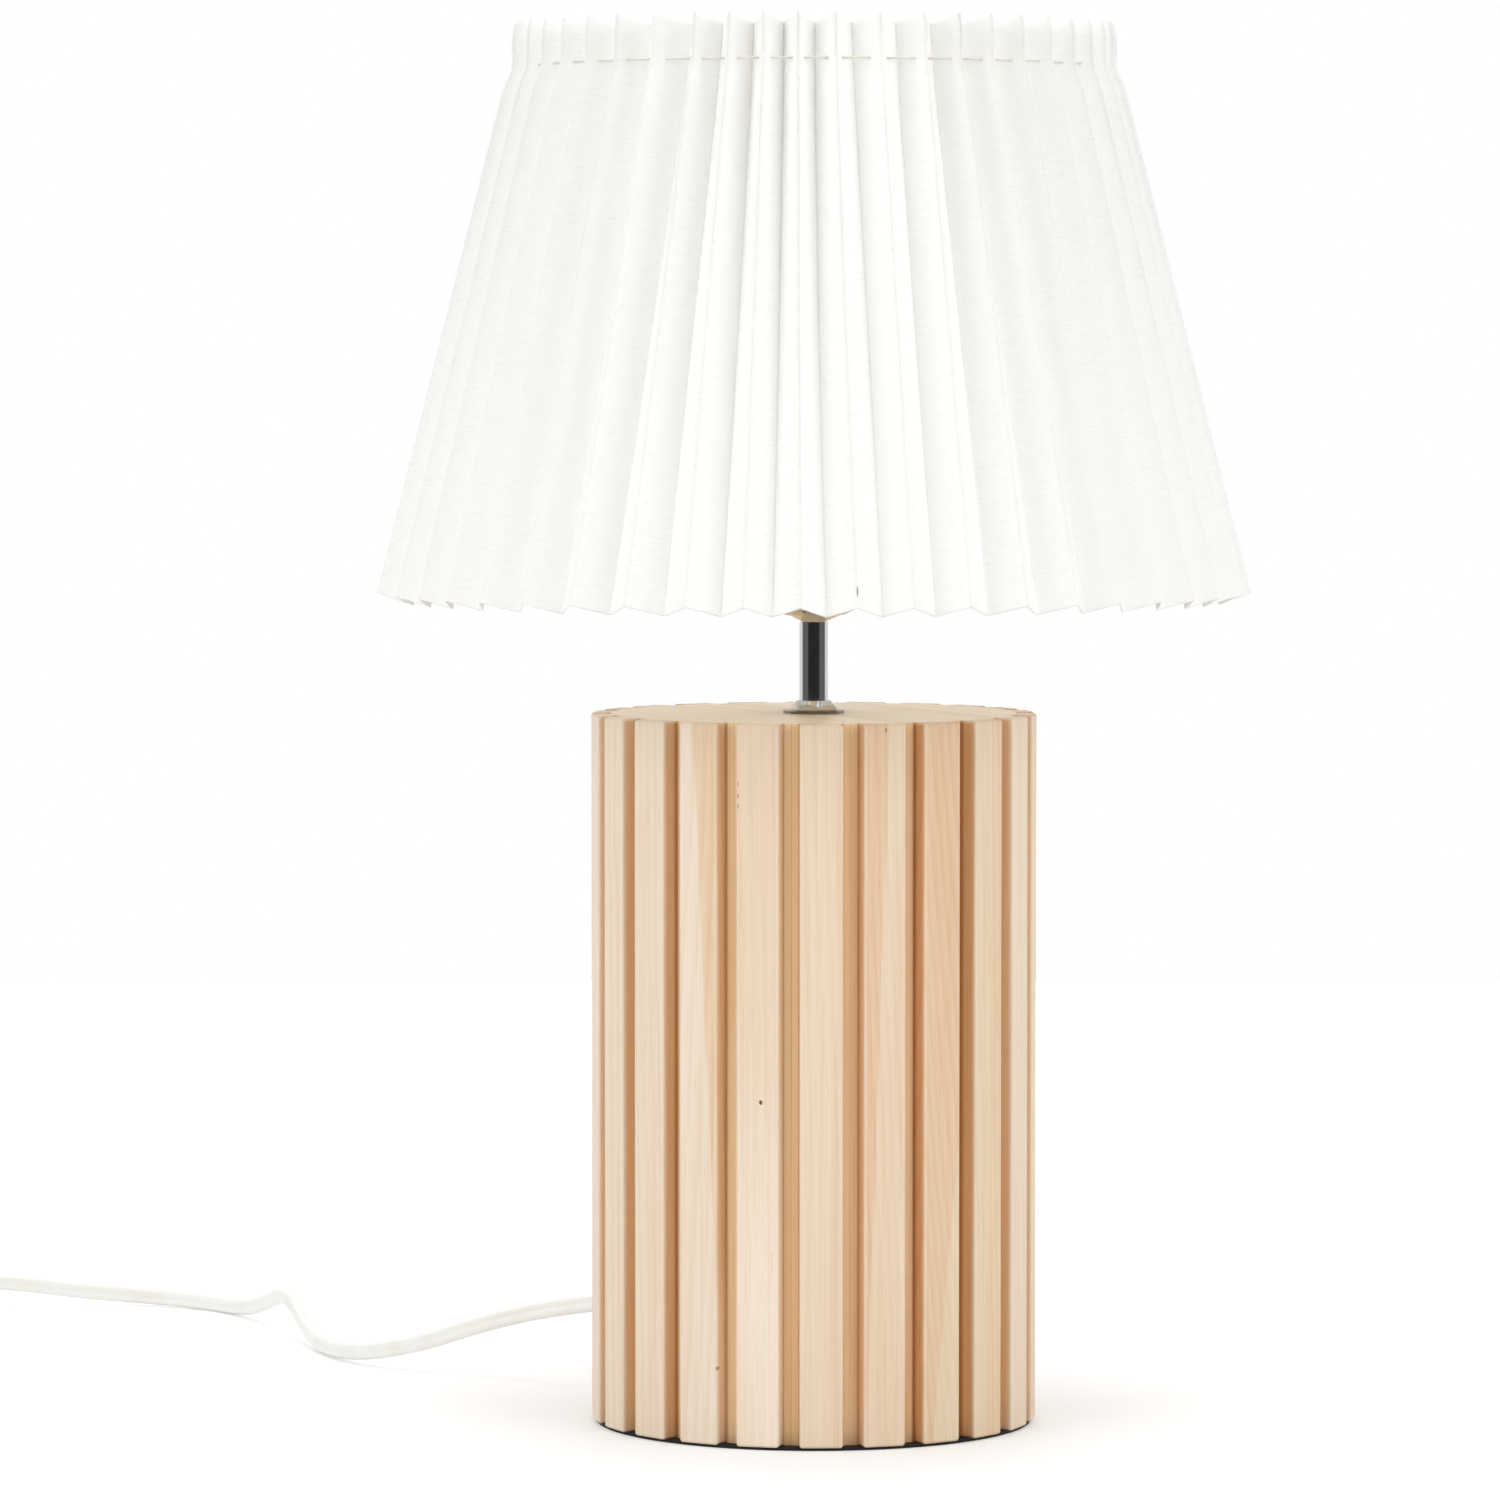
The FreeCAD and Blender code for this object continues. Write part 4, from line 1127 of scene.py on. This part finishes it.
@dataclass
class StemAndHolder:
    """Chrome stem with its nuts and washers, and the lampholder on it."""

    effects: Effects
    chrome: Colour = (0.66, 0.66, 0.67)
    # painted light: cap and nut chrome brighter than the stem's, so their reflections read lighter
    cap_chrome_lit: Colour = (0.84, 0.82, 0.79)
    nut_chrome_lit: Colour = (0.88, 0.88, 0.88)
    # painted shade: chrome darkened so the washer's flat top shows no bright reflection
    washer_chrome_shaded: Colour = (0.34, 0.31, 0.28)
    steel: Colour = (0.56, 0.56, 0.57)
    brass: Colour = (0.72, 0.52, 0.22)
    plastic: Colour = tone(244, 243, 239)
    ceramic: Colour = tone(240, 237, 230)
    nut_flats: float = 14.0 * MM
    nut_turn: float = 15.0
    nut_shoulder: float = 0.9 * MM
    nut_crown: float = 5.8 * MM
    nut_edge: float = 0.25 * MM
    nut_crease: float = 25.0
    stem_radius: float = 5.0 * MM
    facet_points: int = 12

    def build_nut(self) -> Piece:
        """Make the hexagon nut on the stem, turned to a cone above its shoulder.

        Returns:
            The nut object.
        """
        low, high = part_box("stem_nut")
        tall = high.z - low.z
        corner = self.nut_flats / math.sqrt(3.0)
        slope = (tall - self.nut_shoulder) / (corner - self.nut_crown)
        columns = []
        for k in range(6 * self.facet_points):
            off_corner = 60.0 * (k % self.facet_points) / self.facet_points
            angle = self.nut_turn + 60.0 * (k // self.facet_points) + off_corner
            side = self.nut_flats / 2 / math.cos(math.radians(off_corner - 30.0))
            profile = [
                (self.stem_radius, 0.0),
                (side, 0.0),
                (side, self.nut_shoulder + (corner - side) * slope),
                (self.nut_crown, tall),
                (self.stem_radius, tall),
            ]
            columns.append([polar(radius, angle, low.z + rise) for radius, rise in profile])
        mesh = bmesh.new()
        skin(mesh, columns, Ends.JOINED)
        nut = new_piece("stem_nut_turned", mesh)
        nut.data.set_sharp_from_angle(angle=math.radians(self.nut_crease))
        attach(nut, Body.BASE.value)
        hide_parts("stem_nut")
        return nut

    def dress(self) -> None:
        """Give the stem's and the lampholder's pieces their finishes."""
        effects = self.effects
        nut = MetalFinish(effects, self.nut_chrome_lit, rough=0.10, edge=self.nut_edge).build("chrome_nut_lit")
        dress(self.build_nut(), nut)
        dress(cad_nodes["stem_nut"], nut)
        steel = MetalFinish(effects, self.steel, rough=0.28)
        plastic = MouldedFinish(effects, self.plastic, rough=0.34, coat=0.1)
        ceramic = MouldedFinish(effects, self.ceramic, rough=0.6, scale=2200.0, bump=0.06)
        brass = MetalFinish(effects, self.brass, rough=0.24)
        dress_nodes([
            (MetalFinish(effects, self.chrome, rough=0.07), "chrome", "stem_tube"),
            (MetalFinish(effects, self.cap_chrome_lit, rough=0.07), "chrome_cap_lit", "holder_cap"),
            (MetalFinish(effects, self.washer_chrome_shaded, rough=0.30), "chrome_washer_shaded", "stem_washer"),
            (steel, "plain_steel", "inner_washer inner_nut switch_screws"),
            (plastic, "holder_plastic", "holder_skirt shade_ring_nut"),
            (ceramic, "holder_ceramic", "holder_insert"),
            (brass, "contact_brass", "thread_shell centre_contact terminal_screws bulb_contact"),
        ])
        log.info("stem and lampholder dressed")


@dataclass
class Bulb:
    """Opal bulb with its rolled metal cap."""

    effects: Effects
    opal: Colour = tone(246, 245, 240)
    metal: Colour = (0.74, 0.74, 0.75)
    rolled: Point = (40.0, 40.0, 1600.0)

    def dress(self) -> None:
        """Give the bulb's pieces their finishes."""
        opal = MouldedFinish(self.effects, self.opal, rough=0.22, scale=600.0, bump=0.01, coat=0.3)
        metal = MetalFinish(self.effects, self.metal, rough=0.22, stretch=self.rolled)
        dress_nodes([(opal, "bulb_opal", "bulb_globe"), (metal, "bulb_metal", "bulb_cap")])
        log.info("bulb dressed")


@dataclass
class PleatedShade:
    """Accordion-pleated cloth shade with its row of stitches, on a painted wire frame.

    Drift gives, for inner folds at the front, the turn in degrees at the hem and at the top.
    """

    effects: Effects
    hem_z: float = 284.7 * MM
    top_z: float = 479.5 * MM
    hem_radius: float = 150.0 * MM
    top_radius: float = 101.0 * MM
    pleats: int = 48
    phase: float = 1.4
    facet: float = 13.0 * MM
    edge_shift: float = 1.6 * MM
    cloth: float = 0.5 * MM
    pinch: float = 1.3 * MM
    pinch_inner: float = 0.5
    pinch_width: float = 5.0 * MM
    flare: float = 1.4 * MM
    bulge: float = 0.35 * MM
    wander: float = 0.22
    wander_fade: float = 0.6
    depth_span: Span = (0.94, 1.04)
    stitch_z: float = 465.5 * MM
    stitch_reach: float = 0.6
    stitch_sink: float = 1.2 * MM
    stitch_lift: float = 0.8
    stitch_crown: float = 1.4
    stitch_sides: int = 8
    thread: float = 0.4 * MM
    seam_fold: int = 1
    seam_rise: float = 5.4 * MM
    columns: tuple[float, ...] = (0.0, 0.045, 0.16, 0.38, 0.62, 0.84, 0.955)
    rows: int = 44
    row_ease: float = 0.35
    seed: int = 48
    thread_tone: Colour = tone(228, 226, 217)
    paint_tone: Colour = tone(245, 245, 241)
    drift: dict[int, Span] = field(
        default_factory=lambda: {
            -8: (0.6, 2.4),
            -6: (0.9, 1.8),
            -4: (1.15, 0.9),
            -2: (0.84, -0.05),
            0: (0.28, -1.3),
            2: (0.05, -1.2),
            4: (0.0, 0.7),
            6: (0.0, 1.1),
        }
    )
    jitter: list[tuple[float, float, float, float]] = field(default_factory=list)

    def __post_init__(self) -> None:
        """Draw each fold's own unevenness."""
        draw = random.Random(self.seed)
        for _ in range(2 * self.pleats):
            turn = draw.uniform(-self.wander, self.wander)
            sway = draw.uniform(-self.wander, self.wander)
            deep = draw.uniform(*self.depth_span)
            swell = draw.uniform(-1.0, 1.0) * self.bulge
            self.jitter.append((turn, sway, deep, swell))

    def fold_drift(self, fold: int, share: float) -> float:
        """Turn in degrees by which the uneven front pleats leave their even places.

        Args:
            fold: Fold number, even for the inner folds.
            share: Height from 0 at the hem to 1 at the top.

        Returns:
            The turn.
        """
        number = (fold + self.pleats) % (2 * self.pleats) - self.pleats
        around = (number,) if number % 2 == 0 else (number - 1, number + 1)
        pairs = [self.drift.get(k, (0.0, 0.0)) for k in around]
        hem = sum(pair[0] for pair in pairs) / len(pairs)
        top = sum(pair[1] for pair in pairs) / len(pairs)
        return hem + (top - hem) * share

    def fold_depth(self, radius: float) -> float:
        """Radial depth of a pleat whose facets have a fixed width."""
        half_period = math.pi * radius / self.pleats
        return math.sqrt(self.facet ** 2 - half_period ** 2)

    def fold_point(self, fold: int, share: float) -> Vector:
        """Point on a fold line.

        Args:
            fold: Fold number, even for the inner folds.
            share: Height from 0 at the hem to 1 at the top.

        Returns:
            The point.
        """
        turn, sway, deep, _ = self.jitter[fold % (2 * self.pleats)]
        inner = fold % 2 == 0
        hem_depth = self.fold_depth(self.hem_radius)
        depth = (hem_depth + (self.fold_depth(self.top_radius) - hem_depth) * share) * deep
        rise = -self.edge_shift if inner else self.edge_shift
        z = self.hem_z + (self.top_z - self.hem_z) * share + rise
        pinch = self.pinch * math.exp(-(((z - self.stitch_z) / self.pinch_width) ** 2))
        above = smooth(self.stitch_z, self.top_z, z)
        radius = self.hem_radius + (self.top_radius - self.hem_radius) * share + self.flare * above
        radius -= depth - self.pinch_inner * pinch if inner else pinch
        angle = self.phase + fold * 180.0 / self.pleats + self.fold_drift(fold, share)
        angle += turn * (1.0 - self.wander_fade * share)
        angle += sway * math.sin(math.pi * share) * (1.0 - above)
        return polar(radius, angle, z)

    def facet_point(self, fold: int, across: float, share: float) -> Vector:
        """Point on the facet after a fold, a little bowed between its folds.

        Args:
            fold: Fold number at the facet's start.
            across: Place from 0 at that fold to 1 at the next.
            share: Height from 0 at the hem to 1 at the top.

        Returns:
            The point.
        """
        start = self.fold_point(fold, share)
        along = self.fold_point(fold + 1, share) - start
        out = Vector((along.y, -along.x, 0.0)).normalized()
        swell = self.jitter[fold % (2 * self.pleats)][3]
        return start + along * across + out * (swell * math.sin(math.pi * across))

    def build_cloth(self) -> Piece:
        """Make the pleated cloth as one sheet with a thickness.

        Returns:
            The cloth object.
        """
        even = [k / self.rows for k in range(self.rows + 1)]
        trim = self.cloth / (self.top_z - self.hem_z)
        shares = [share + self.row_ease * (smooth(0.0, 1.0, share) - share) for share in even]
        places = [(fold, across) for fold in range(2 * self.pleats) for across in self.columns]
        rings = []
        for share in sorted(shares + [trim, 1.0 - trim]):
            rings.append([self.facet_point(fold, across, share) for fold, across in places])
        mesh = bmesh.new()
        skin(mesh, rings, Ends.OPEN)
        cloth = new_piece("shade_cloth", mesh)
        thick = cloth.modifiers.new("thickness", "SOLIDIFY")
        thick.thickness = self.cloth
        thick.offset = -1.0
        return cloth

    def build_stitches(self) -> Piece:
        """Make the thread that bridges each inner fold along the top ring.

        Returns:
            The stitches as one object.
        """
        mesh = bmesh.new()
        share = (self.stitch_z - self.hem_z) / (self.top_z - self.hem_z)
        turns = [math.tau * k / self.stitch_sides for k in range(self.stitch_sides)]
        section = [(self.thread * math.cos(turn), self.thread * math.sin(turn)) for turn in turns]
        for fold in range(0, 2 * self.pleats, 2):
            left = self.facet_point(fold - 1, 1.0 - self.stitch_reach, share)
            right = self.facet_point(fold, self.stitch_reach, share)
            middle = (left + right) * 0.5
            out = Vector((middle.x, middle.y, 0.0)).normalized()
            lift = out * (self.thread * self.stitch_lift)
            sink = out * -self.stitch_sink
            crown = middle + lift * self.stitch_crown
            points = [left + sink, left + lift, crown, right + lift, right + sink]
            sweep(mesh, points, section, [0.0] * len(points))
        return new_piece("shade_stitches", mesh)

    def build(self) -> None:
        """Make the cloth and its stitches, and dress them and the frame."""
        cloth = self.build_cloth()
        seam = self.fold_point(self.seam_fold, self.seam_rise / (self.top_z - self.hem_z))
        dress(cloth, PleatClothFinish(self.effects, seam).build("shade_cloth"))
        stitches = self.build_stitches()
        thread = MouldedFinish(self.effects, self.thread_tone, rough=0.8, scale=3000.0)
        dress(stitches, thread.build("shade_thread"))
        for piece in (cloth, stitches):
            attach(piece, Body.SHADE.value)
        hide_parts("shade_fabric")
        paint = MouldedFinish(self.effects, self.paint_tone, rough=0.42, scale=1800.0)
        wires = "shade_bottom_ring shade_top_ring shade_ribs fitter_ring fitter_spokes"
        dress_nodes([(paint, "frame_white", wires)])


def new_piece(name: str, mesh: Mesh) -> Piece:
    """Turn a finished bmesh into a smooth-shaded object in the scene.

    Args:
        name: Object name.
        mesh: The bmesh, which is freed.

    Returns:
        The object.
    """
    bmesh.ops.recalc_face_normals(mesh, faces=mesh.faces)
    data = bpy.data.meshes.new(name)
    mesh.to_mesh(data)
    mesh.free()
    for face in data.polygons:
        face.use_smooth = True
    piece = bpy.data.objects.new(name, data)
    link(piece)
    return piece


def skin(mesh: Mesh, rings: Sequence[Sequence[Vector]], ends: Ends) -> None:
    """Skin a row of closed section rings.

    Args:
        mesh: The bmesh to add to.
        rings: Section rings in order, all with as many points.
        ends: What the row has at its two ends.
    """
    verts = [[mesh.verts.new(point) for point in ring] for ring in rings]
    count = len(verts[0])
    following = verts[1:] + verts[:1] if ends is Ends.JOINED else verts[1:]
    for low, high in zip(verts, following):
        for k in range(count):
            after = (k + 1) % count
            mesh.faces.new((low[k], low[after], high[after], high[k]))
    if ends is Ends.CAPPED:
        mesh.faces.new(list(reversed(verts[0])))
        mesh.faces.new(verts[-1])


def path_frames(points: Sequence[Vector]) -> list[tuple[Vector, Vector, Vector]]:
    """Point, upward width direction and sideways thickness direction along a path.

    Args:
        points: Path points in order.

    Returns:
        One triple for each point.
    """
    up = Vector((0.0, 0.0, 1.0))
    steep = 0.2
    frames = []
    last = len(points) - 1
    width = up
    for k, point in enumerate(points):
        ahead = (points[min(k + 1, last)] - points[max(k - 1, 0)]).normalized()
        upright = up - ahead * up.dot(ahead)
        if upright.length > steep:
            width = upright.normalized()
        else:
            width = (width - ahead * width.dot(ahead)).normalized()
        frames.append((point, width, ahead.cross(width).normalized()))
    return frames


def sweep(mesh: Mesh, path: Sequence[Vector], section: Sequence[Span], roll: Sequence[float]) -> None:
    """Skin a section that is carried along a path.

    Args:
        mesh: The bmesh to add to.
        path: Points along the middle.
        section: Width and thickness of each point of the section.
        roll: Turn of the section in degrees at each point of the path.
    """
    rings = []
    for (point, width, flat), angle in zip(path_frames(path), roll):
        turn = math.radians(angle)
        across = width * math.cos(turn) + flat * math.sin(turn)
        through = flat * math.cos(turn) - width * math.sin(turn)
        rings.append([point + across * w + through * h for w, h in section])
    skin(mesh, rings, Ends.CAPPED)


def spline_points(name: str, route: Sequence[Point], steps: int) -> list[Vector]:
    """Points along the smooth line of a route.

    Args:
        name: Name of the curve.
        route: Control points in metres.
        steps: Points on each of the spline's spans.

    Returns:
        Points along the NURBS spline.
    """
    data = bpy.data.curves.new(name, "CURVE")
    data.dimensions = "3D"
    data.resolution_u = steps
    spline = data.splines.new("NURBS")
    spline.points.add(len(route) - 1)
    for knot, place in zip(spline.points, route):
        knot.co = (*place, 1.0)
    spline.order_u = 3
    spline.use_endpoint_u = True
    curve = bpy.data.objects.new(name, data)
    link(curve)
    bpy.context.view_layer.update()
    solved = curve.evaluated_get(bpy.context.evaluated_depsgraph_get())
    mesh = bpy.data.meshes.new_from_object(solved)
    points = [vert.co.copy() for vert in mesh.vertices]
    bpy.data.meshes.remove(mesh)
    bpy.data.objects.remove(curve)
    bpy.data.curves.remove(data)
    return points


@dataclass
class TwinCord:
    """Flat twin cord: out of the base, over its hump, through the switch, into its coil and the plug.

    The tail's rows are mm aside and mm along from the coil's end, and the share of the drop to the plug.
    """

    effects: Effects
    width: float = 6.2 * MM
    core_radius: float = 1.7 * MM
    core_half_arc: float = 72.0
    core_points: int = 8
    web: float = 1.1 * MM
    web_dent: float = 0.42
    floor_z: float = 3.2 * MM
    exit_radius: float = 75.0 * MM
    exit_run: float = 17.0 * MM
    exit_angle: float = 222.909
    exit_z: float = 32.0 * MM
    exit_roll: float = 38.0
    roll_reach: float = 150.0 * MM
    entry_z: float = 9.5 * MM
    coil_centre: Span = (-396.0 * MM, 205.0 * MM)
    coil_lead: Span = (28.2 * MM, 12.0 * MM)
    coil_inner: float = 20.0 * MM
    coil_half_step: float = 3.95 * MM
    coil_half_turns: int = 6
    coil_low: float = 4.6 * MM
    coil_high: float = 12.5 * MM
    coil_points: int = 8
    plug_z: float = 7.2 * MM
    tail_rows: tuple[Point, ...] = (
        (0.0, 0.0, 0.0),
        (0.0, 15.0, 0.0),
        (0.9, 31.0, 1.6 / 3.0),
        (1.0, 47.0, 1.0),
        (1.0, 60.0, 1.0),
    )
    length: float = 1.77
    spline_steps: int = 6
    lead_steps: int = 8
    lead_bend: float = 40.0 * MM
    lead_top: float = 292.0 * MM
    strap_corner: float = 2.6 * MM
    strap_half: float = 0.5 * MM
    strap_ease: float = 0.4 * MM
    strap_steps: int = 6
    strap_tone: Colour = tone(232, 231, 226)

    def run_points(self) -> list[Point]:
        """Route from the bushing, over the hump on the floor, through the switch to the coil's start.

        Returns:
            The control points.
        """
        start = polar(self.exit_radius, self.exit_angle, self.exit_z)
        out = polar(self.exit_radius + self.exit_run, self.exit_angle, self.exit_z)
        low = self.floor_z / MM
        entry = self.entry_z / MM
        rows = [
            (-90.0, 84.0, 27.5),
            (-117.0, 99.0, 20.0),
            (-142.0, 113.0, 10.0),
            (-164.0, 128.0, low + 1.4),
            (-178.0, 150.0, low),
            (-187.0, 179.0, low + 1.0),
            (-197.0, 209.0, 16.5),
            (-206.5, 236.0, 9.0),
            (-216.5, 259.0, low),
            (-233.0, 280.0, low),
            (-257.0, 291.5, low + 0.6),
            (-284.0, 294.5, 5.5),
            (-311.0, 291.0, entry),
            (-336.0, 288.0, entry),
            (-385.64, 282.04, entry),
            (-397.56, 280.61, entry),
            (-420.5, 273.5, 7.8),
            (-434.5, 257.0, 6.0),
        ]
        return [tuple(start), tuple(out)] + [tuple(v * MM for v in row) for row in rows]

    def coil_route(self) -> list[Point]:
        """Route of the coil: a spiral in, a climb and a spiral out on top.

        Returns:
            The control points.
        """
        turns = self.coil_half_turns
        outer = self.coil_inner + turns * self.coil_half_step
        swell = 2.0 / (1.0 + math.cos(math.pi / self.coil_points))
        centre_x, centre_y = self.coil_centre
        points = [(centre_x - outer, centre_y + lead, self.coil_low) for lead in self.coil_lead]
        for k in range(2 * turns * self.coil_points + 1):
            half = k / self.coil_points
            if half <= turns:
                radius = outer - half * self.coil_half_step
            else:
                radius = self.coil_inner + max(0.0, half - turns - 1) * self.coil_half_step
            radius *= swell
            turn = math.pi * half
            z = self.coil_low + (self.coil_high - self.coil_low) * smooth(turns, turns + 1, half)
            points.append((centre_x - radius * math.cos(turn), centre_y - radius * math.sin(turn), z))
        return points

    def tail_route(self) -> list[Point]:
        """Route from the coil's end down into the plug.

        Returns:
            The control points.
        """
        x = self.coil_centre[0] - self.coil_inner - (self.coil_half_turns - 1) * self.coil_half_step
        y = self.coil_centre[1] - self.width
        drop = self.coil_high - self.plug_z
        return [
            (x - aside * MM, y - along * MM, self.coil_high - share * drop)
            for aside, along, share in self.tail_rows
        ]

    def section(self) -> list[Span]:
        """Twin section: two round cores joined by a web.

        Returns:
            Width and thickness of each point.
        """
        reach = self.width / 2 - self.core_radius
        steps = self.core_points
        turns = [math.radians(self.core_half_arc * (2 * k / steps - 1)) for k in range(steps + 1)]
        right = [(reach + self.core_radius * math.cos(t), self.core_radius * math.sin(t)) for t in turns]
        dent = self.web_dent * reach
        shoulder = 0.5 * (self.web + self.core_radius)
        half = right + [(dent, shoulder), (0.0, self.web), (-dent, shoulder)]
        return half + [(-w, -h) for w, h in half]

    def tube(self, name: str, path: Sequence[Vector], roll: Sequence[float]) -> Piece:
        """Make the twin tube along a path.

        Args:
            name: Object name.
            path: Points along the cord.
            roll: Turn of the section in degrees at each point.

        Returns:
            The tube object.
        """
        mesh = bmesh.new()
        sweep(mesh, path, self.section(), roll)
        return new_piece(name, mesh)

    def build(self) -> None:
        """Make the free cord, the lead inside the base, the strap and their finishes."""
        sheath = CordFinish(self.effects).build("cord_white")
        route = self.run_points() + self.coil_route() + self.tail_route()
        path = spline_points("cord_route", route, self.spline_steps)
        roll = []
        gone = 0.0
        for before, point in zip(path[:1] + path, path):
            gone += (point - before).length
            roll.append(self.exit_roll * (1.0 - smooth(0.0, self.roll_reach, gone)))
        cord = self.tube("lamp_cord", path, roll)
        dress(cord, sheath)
        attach(cord, Body.BASE.value)
        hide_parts("cord_run", "cord_link", "cord_coil", "cord_tail")
        tie = self.build_tie()
        carried = "switch_base switch_cover switch_rocker switch_screws plug_body plug_pins"
        [cad_nodes[name] for name in carried.split()] + [tie]
        self.build_inner_lead(sheath)
        log.info("cord: route of %d points", len(route))

    def build_inner_lead(self, sheath: Material) -> None:
        """Make the lead from the bushing up through the stem.

        Args:
            sheath: The cord's material.
        """
        bend = self.lead_bend
        straight = self.exit_z + 2.0 * bend
        route = [
            tuple(polar(self.exit_radius, self.exit_angle, self.exit_z)),
            tuple(polar(bend, self.exit_angle, self.exit_z)),
            tuple(polar(0.3 * bend, self.exit_angle, self.exit_z + 0.08 * bend)),
            (0.0, 0.0, self.exit_z + 0.7 * bend),
            (0.0, 0.0, straight),
            (0.0, 0.0, 0.5 * (self.lead_top + straight)),
            (0.0, 0.0, self.lead_top),
        ]
        path = spline_points("inner_route", route, self.lead_steps)
        lead = self.tube("inner_lead", path, [self.exit_roll] * len(path))
        dress(lead, sheath)
        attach(lead, Body.BASE.value)
        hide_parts("inner_cord")

    def build_tie(self) -> Piece:
        """Make the strap round the coil's strands, with eased edges.

        Returns:
            The strap object.
        """
        low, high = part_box("cord_tie")
        corner = self.strap_corner
        middle = (low + high) * 0.5
        half_x = (high.x - low.x) / 2 - self.strap_half
        half_z = (high.z - low.z) / 2 - self.strap_half
        loop = []
        for quarter, (sx, sz) in enumerate(((1, 1), (-1, 1), (-1, -1), (1, -1))):
            aside = Vector((sx * (half_x - corner), 0.0, sz * (half_z - corner)))
            for k in range(self.strap_steps + 1):
                turn = math.radians(90.0 * (quarter + k / self.strap_steps))
                loop.append(middle + aside + Vector((math.cos(turn), 0.0, math.sin(turn))) * corner)
        half_y = (high.y - low.y) / 2
        edge = Vector((0.0, half_y, 0.0))
        ease = Vector((0.0, half_y - self.strap_ease, 0.0))
        rings = []
        for k, point in enumerate(loop):
            ahead = (loop[(k + 1) % len(loop)] - loop[k - 1]).normalized()
            out = Vector((ahead.z, 0.0, -ahead.x)) * self.strap_half
            offsets = (edge, ease + out, out - ease, -edge, -ease - out, ease - out)
            rings.append([point + offset for offset in offsets])
        mesh = bmesh.new()
        skin(mesh, rings, Ends.JOINED)
        tie = new_piece("coil_strap", mesh)
        plastic = MouldedFinish(self.effects, self.strap_tone, rough=0.6, scale=1600.0, bump=0.08)
        dress(tie, plastic.build("strap_plastic"))
        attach(tie, Body.BASE.value)
        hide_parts("cord_tie")
        return tie


@dataclass
class CordFittings:
    """Bushing, in-line switch and plug on the cord."""

    effects: Effects
    nylon: Colour = tone(238, 238, 234)
    shell: Colour = tone(245, 245, 242)
    nickel: Colour = (0.70, 0.69, 0.66)
    pin_stretch: Point = (2500.0, 40.0, 2500.0)

    def dress(self) -> None:
        """Give the fittings their finishes."""
        shell = MouldedFinish(self.effects, self.shell, rough=0.3, bump=0.02, coat=0.15)
        nickel = MetalFinish(self.effects, self.nickel, rough=0.2, stretch=self.pin_stretch)
        dress_nodes([
            (MouldedFinish(self.effects, self.nylon, rough=0.5), "bushing_plastic", "cord_bushing"),
            (shell, "switch_white", "switch_base switch_cover switch_rocker"),
            (shell, "plug_white", "plug_body"),
            (nickel, "pin_nickel", "plug_pins"),
        ])
        log.info("bushing, switch and plug dressed")


def main() -> None:
    """Build the studio and the lamp's pieces in order; most steps log a line."""
    logging.basicConfig(level=logging.INFO, format="%(message)s")
    effects = Effects()
    Studio().build()
    TwinCord(effects).build()
    CordFittings(effects).dress()
    SlatBase(effects).dress()
    StemAndHolder(effects).dress()
    Bulb(effects).dress()
    PleatedShade(effects).build()


if __name__ == "__main__":
    main()
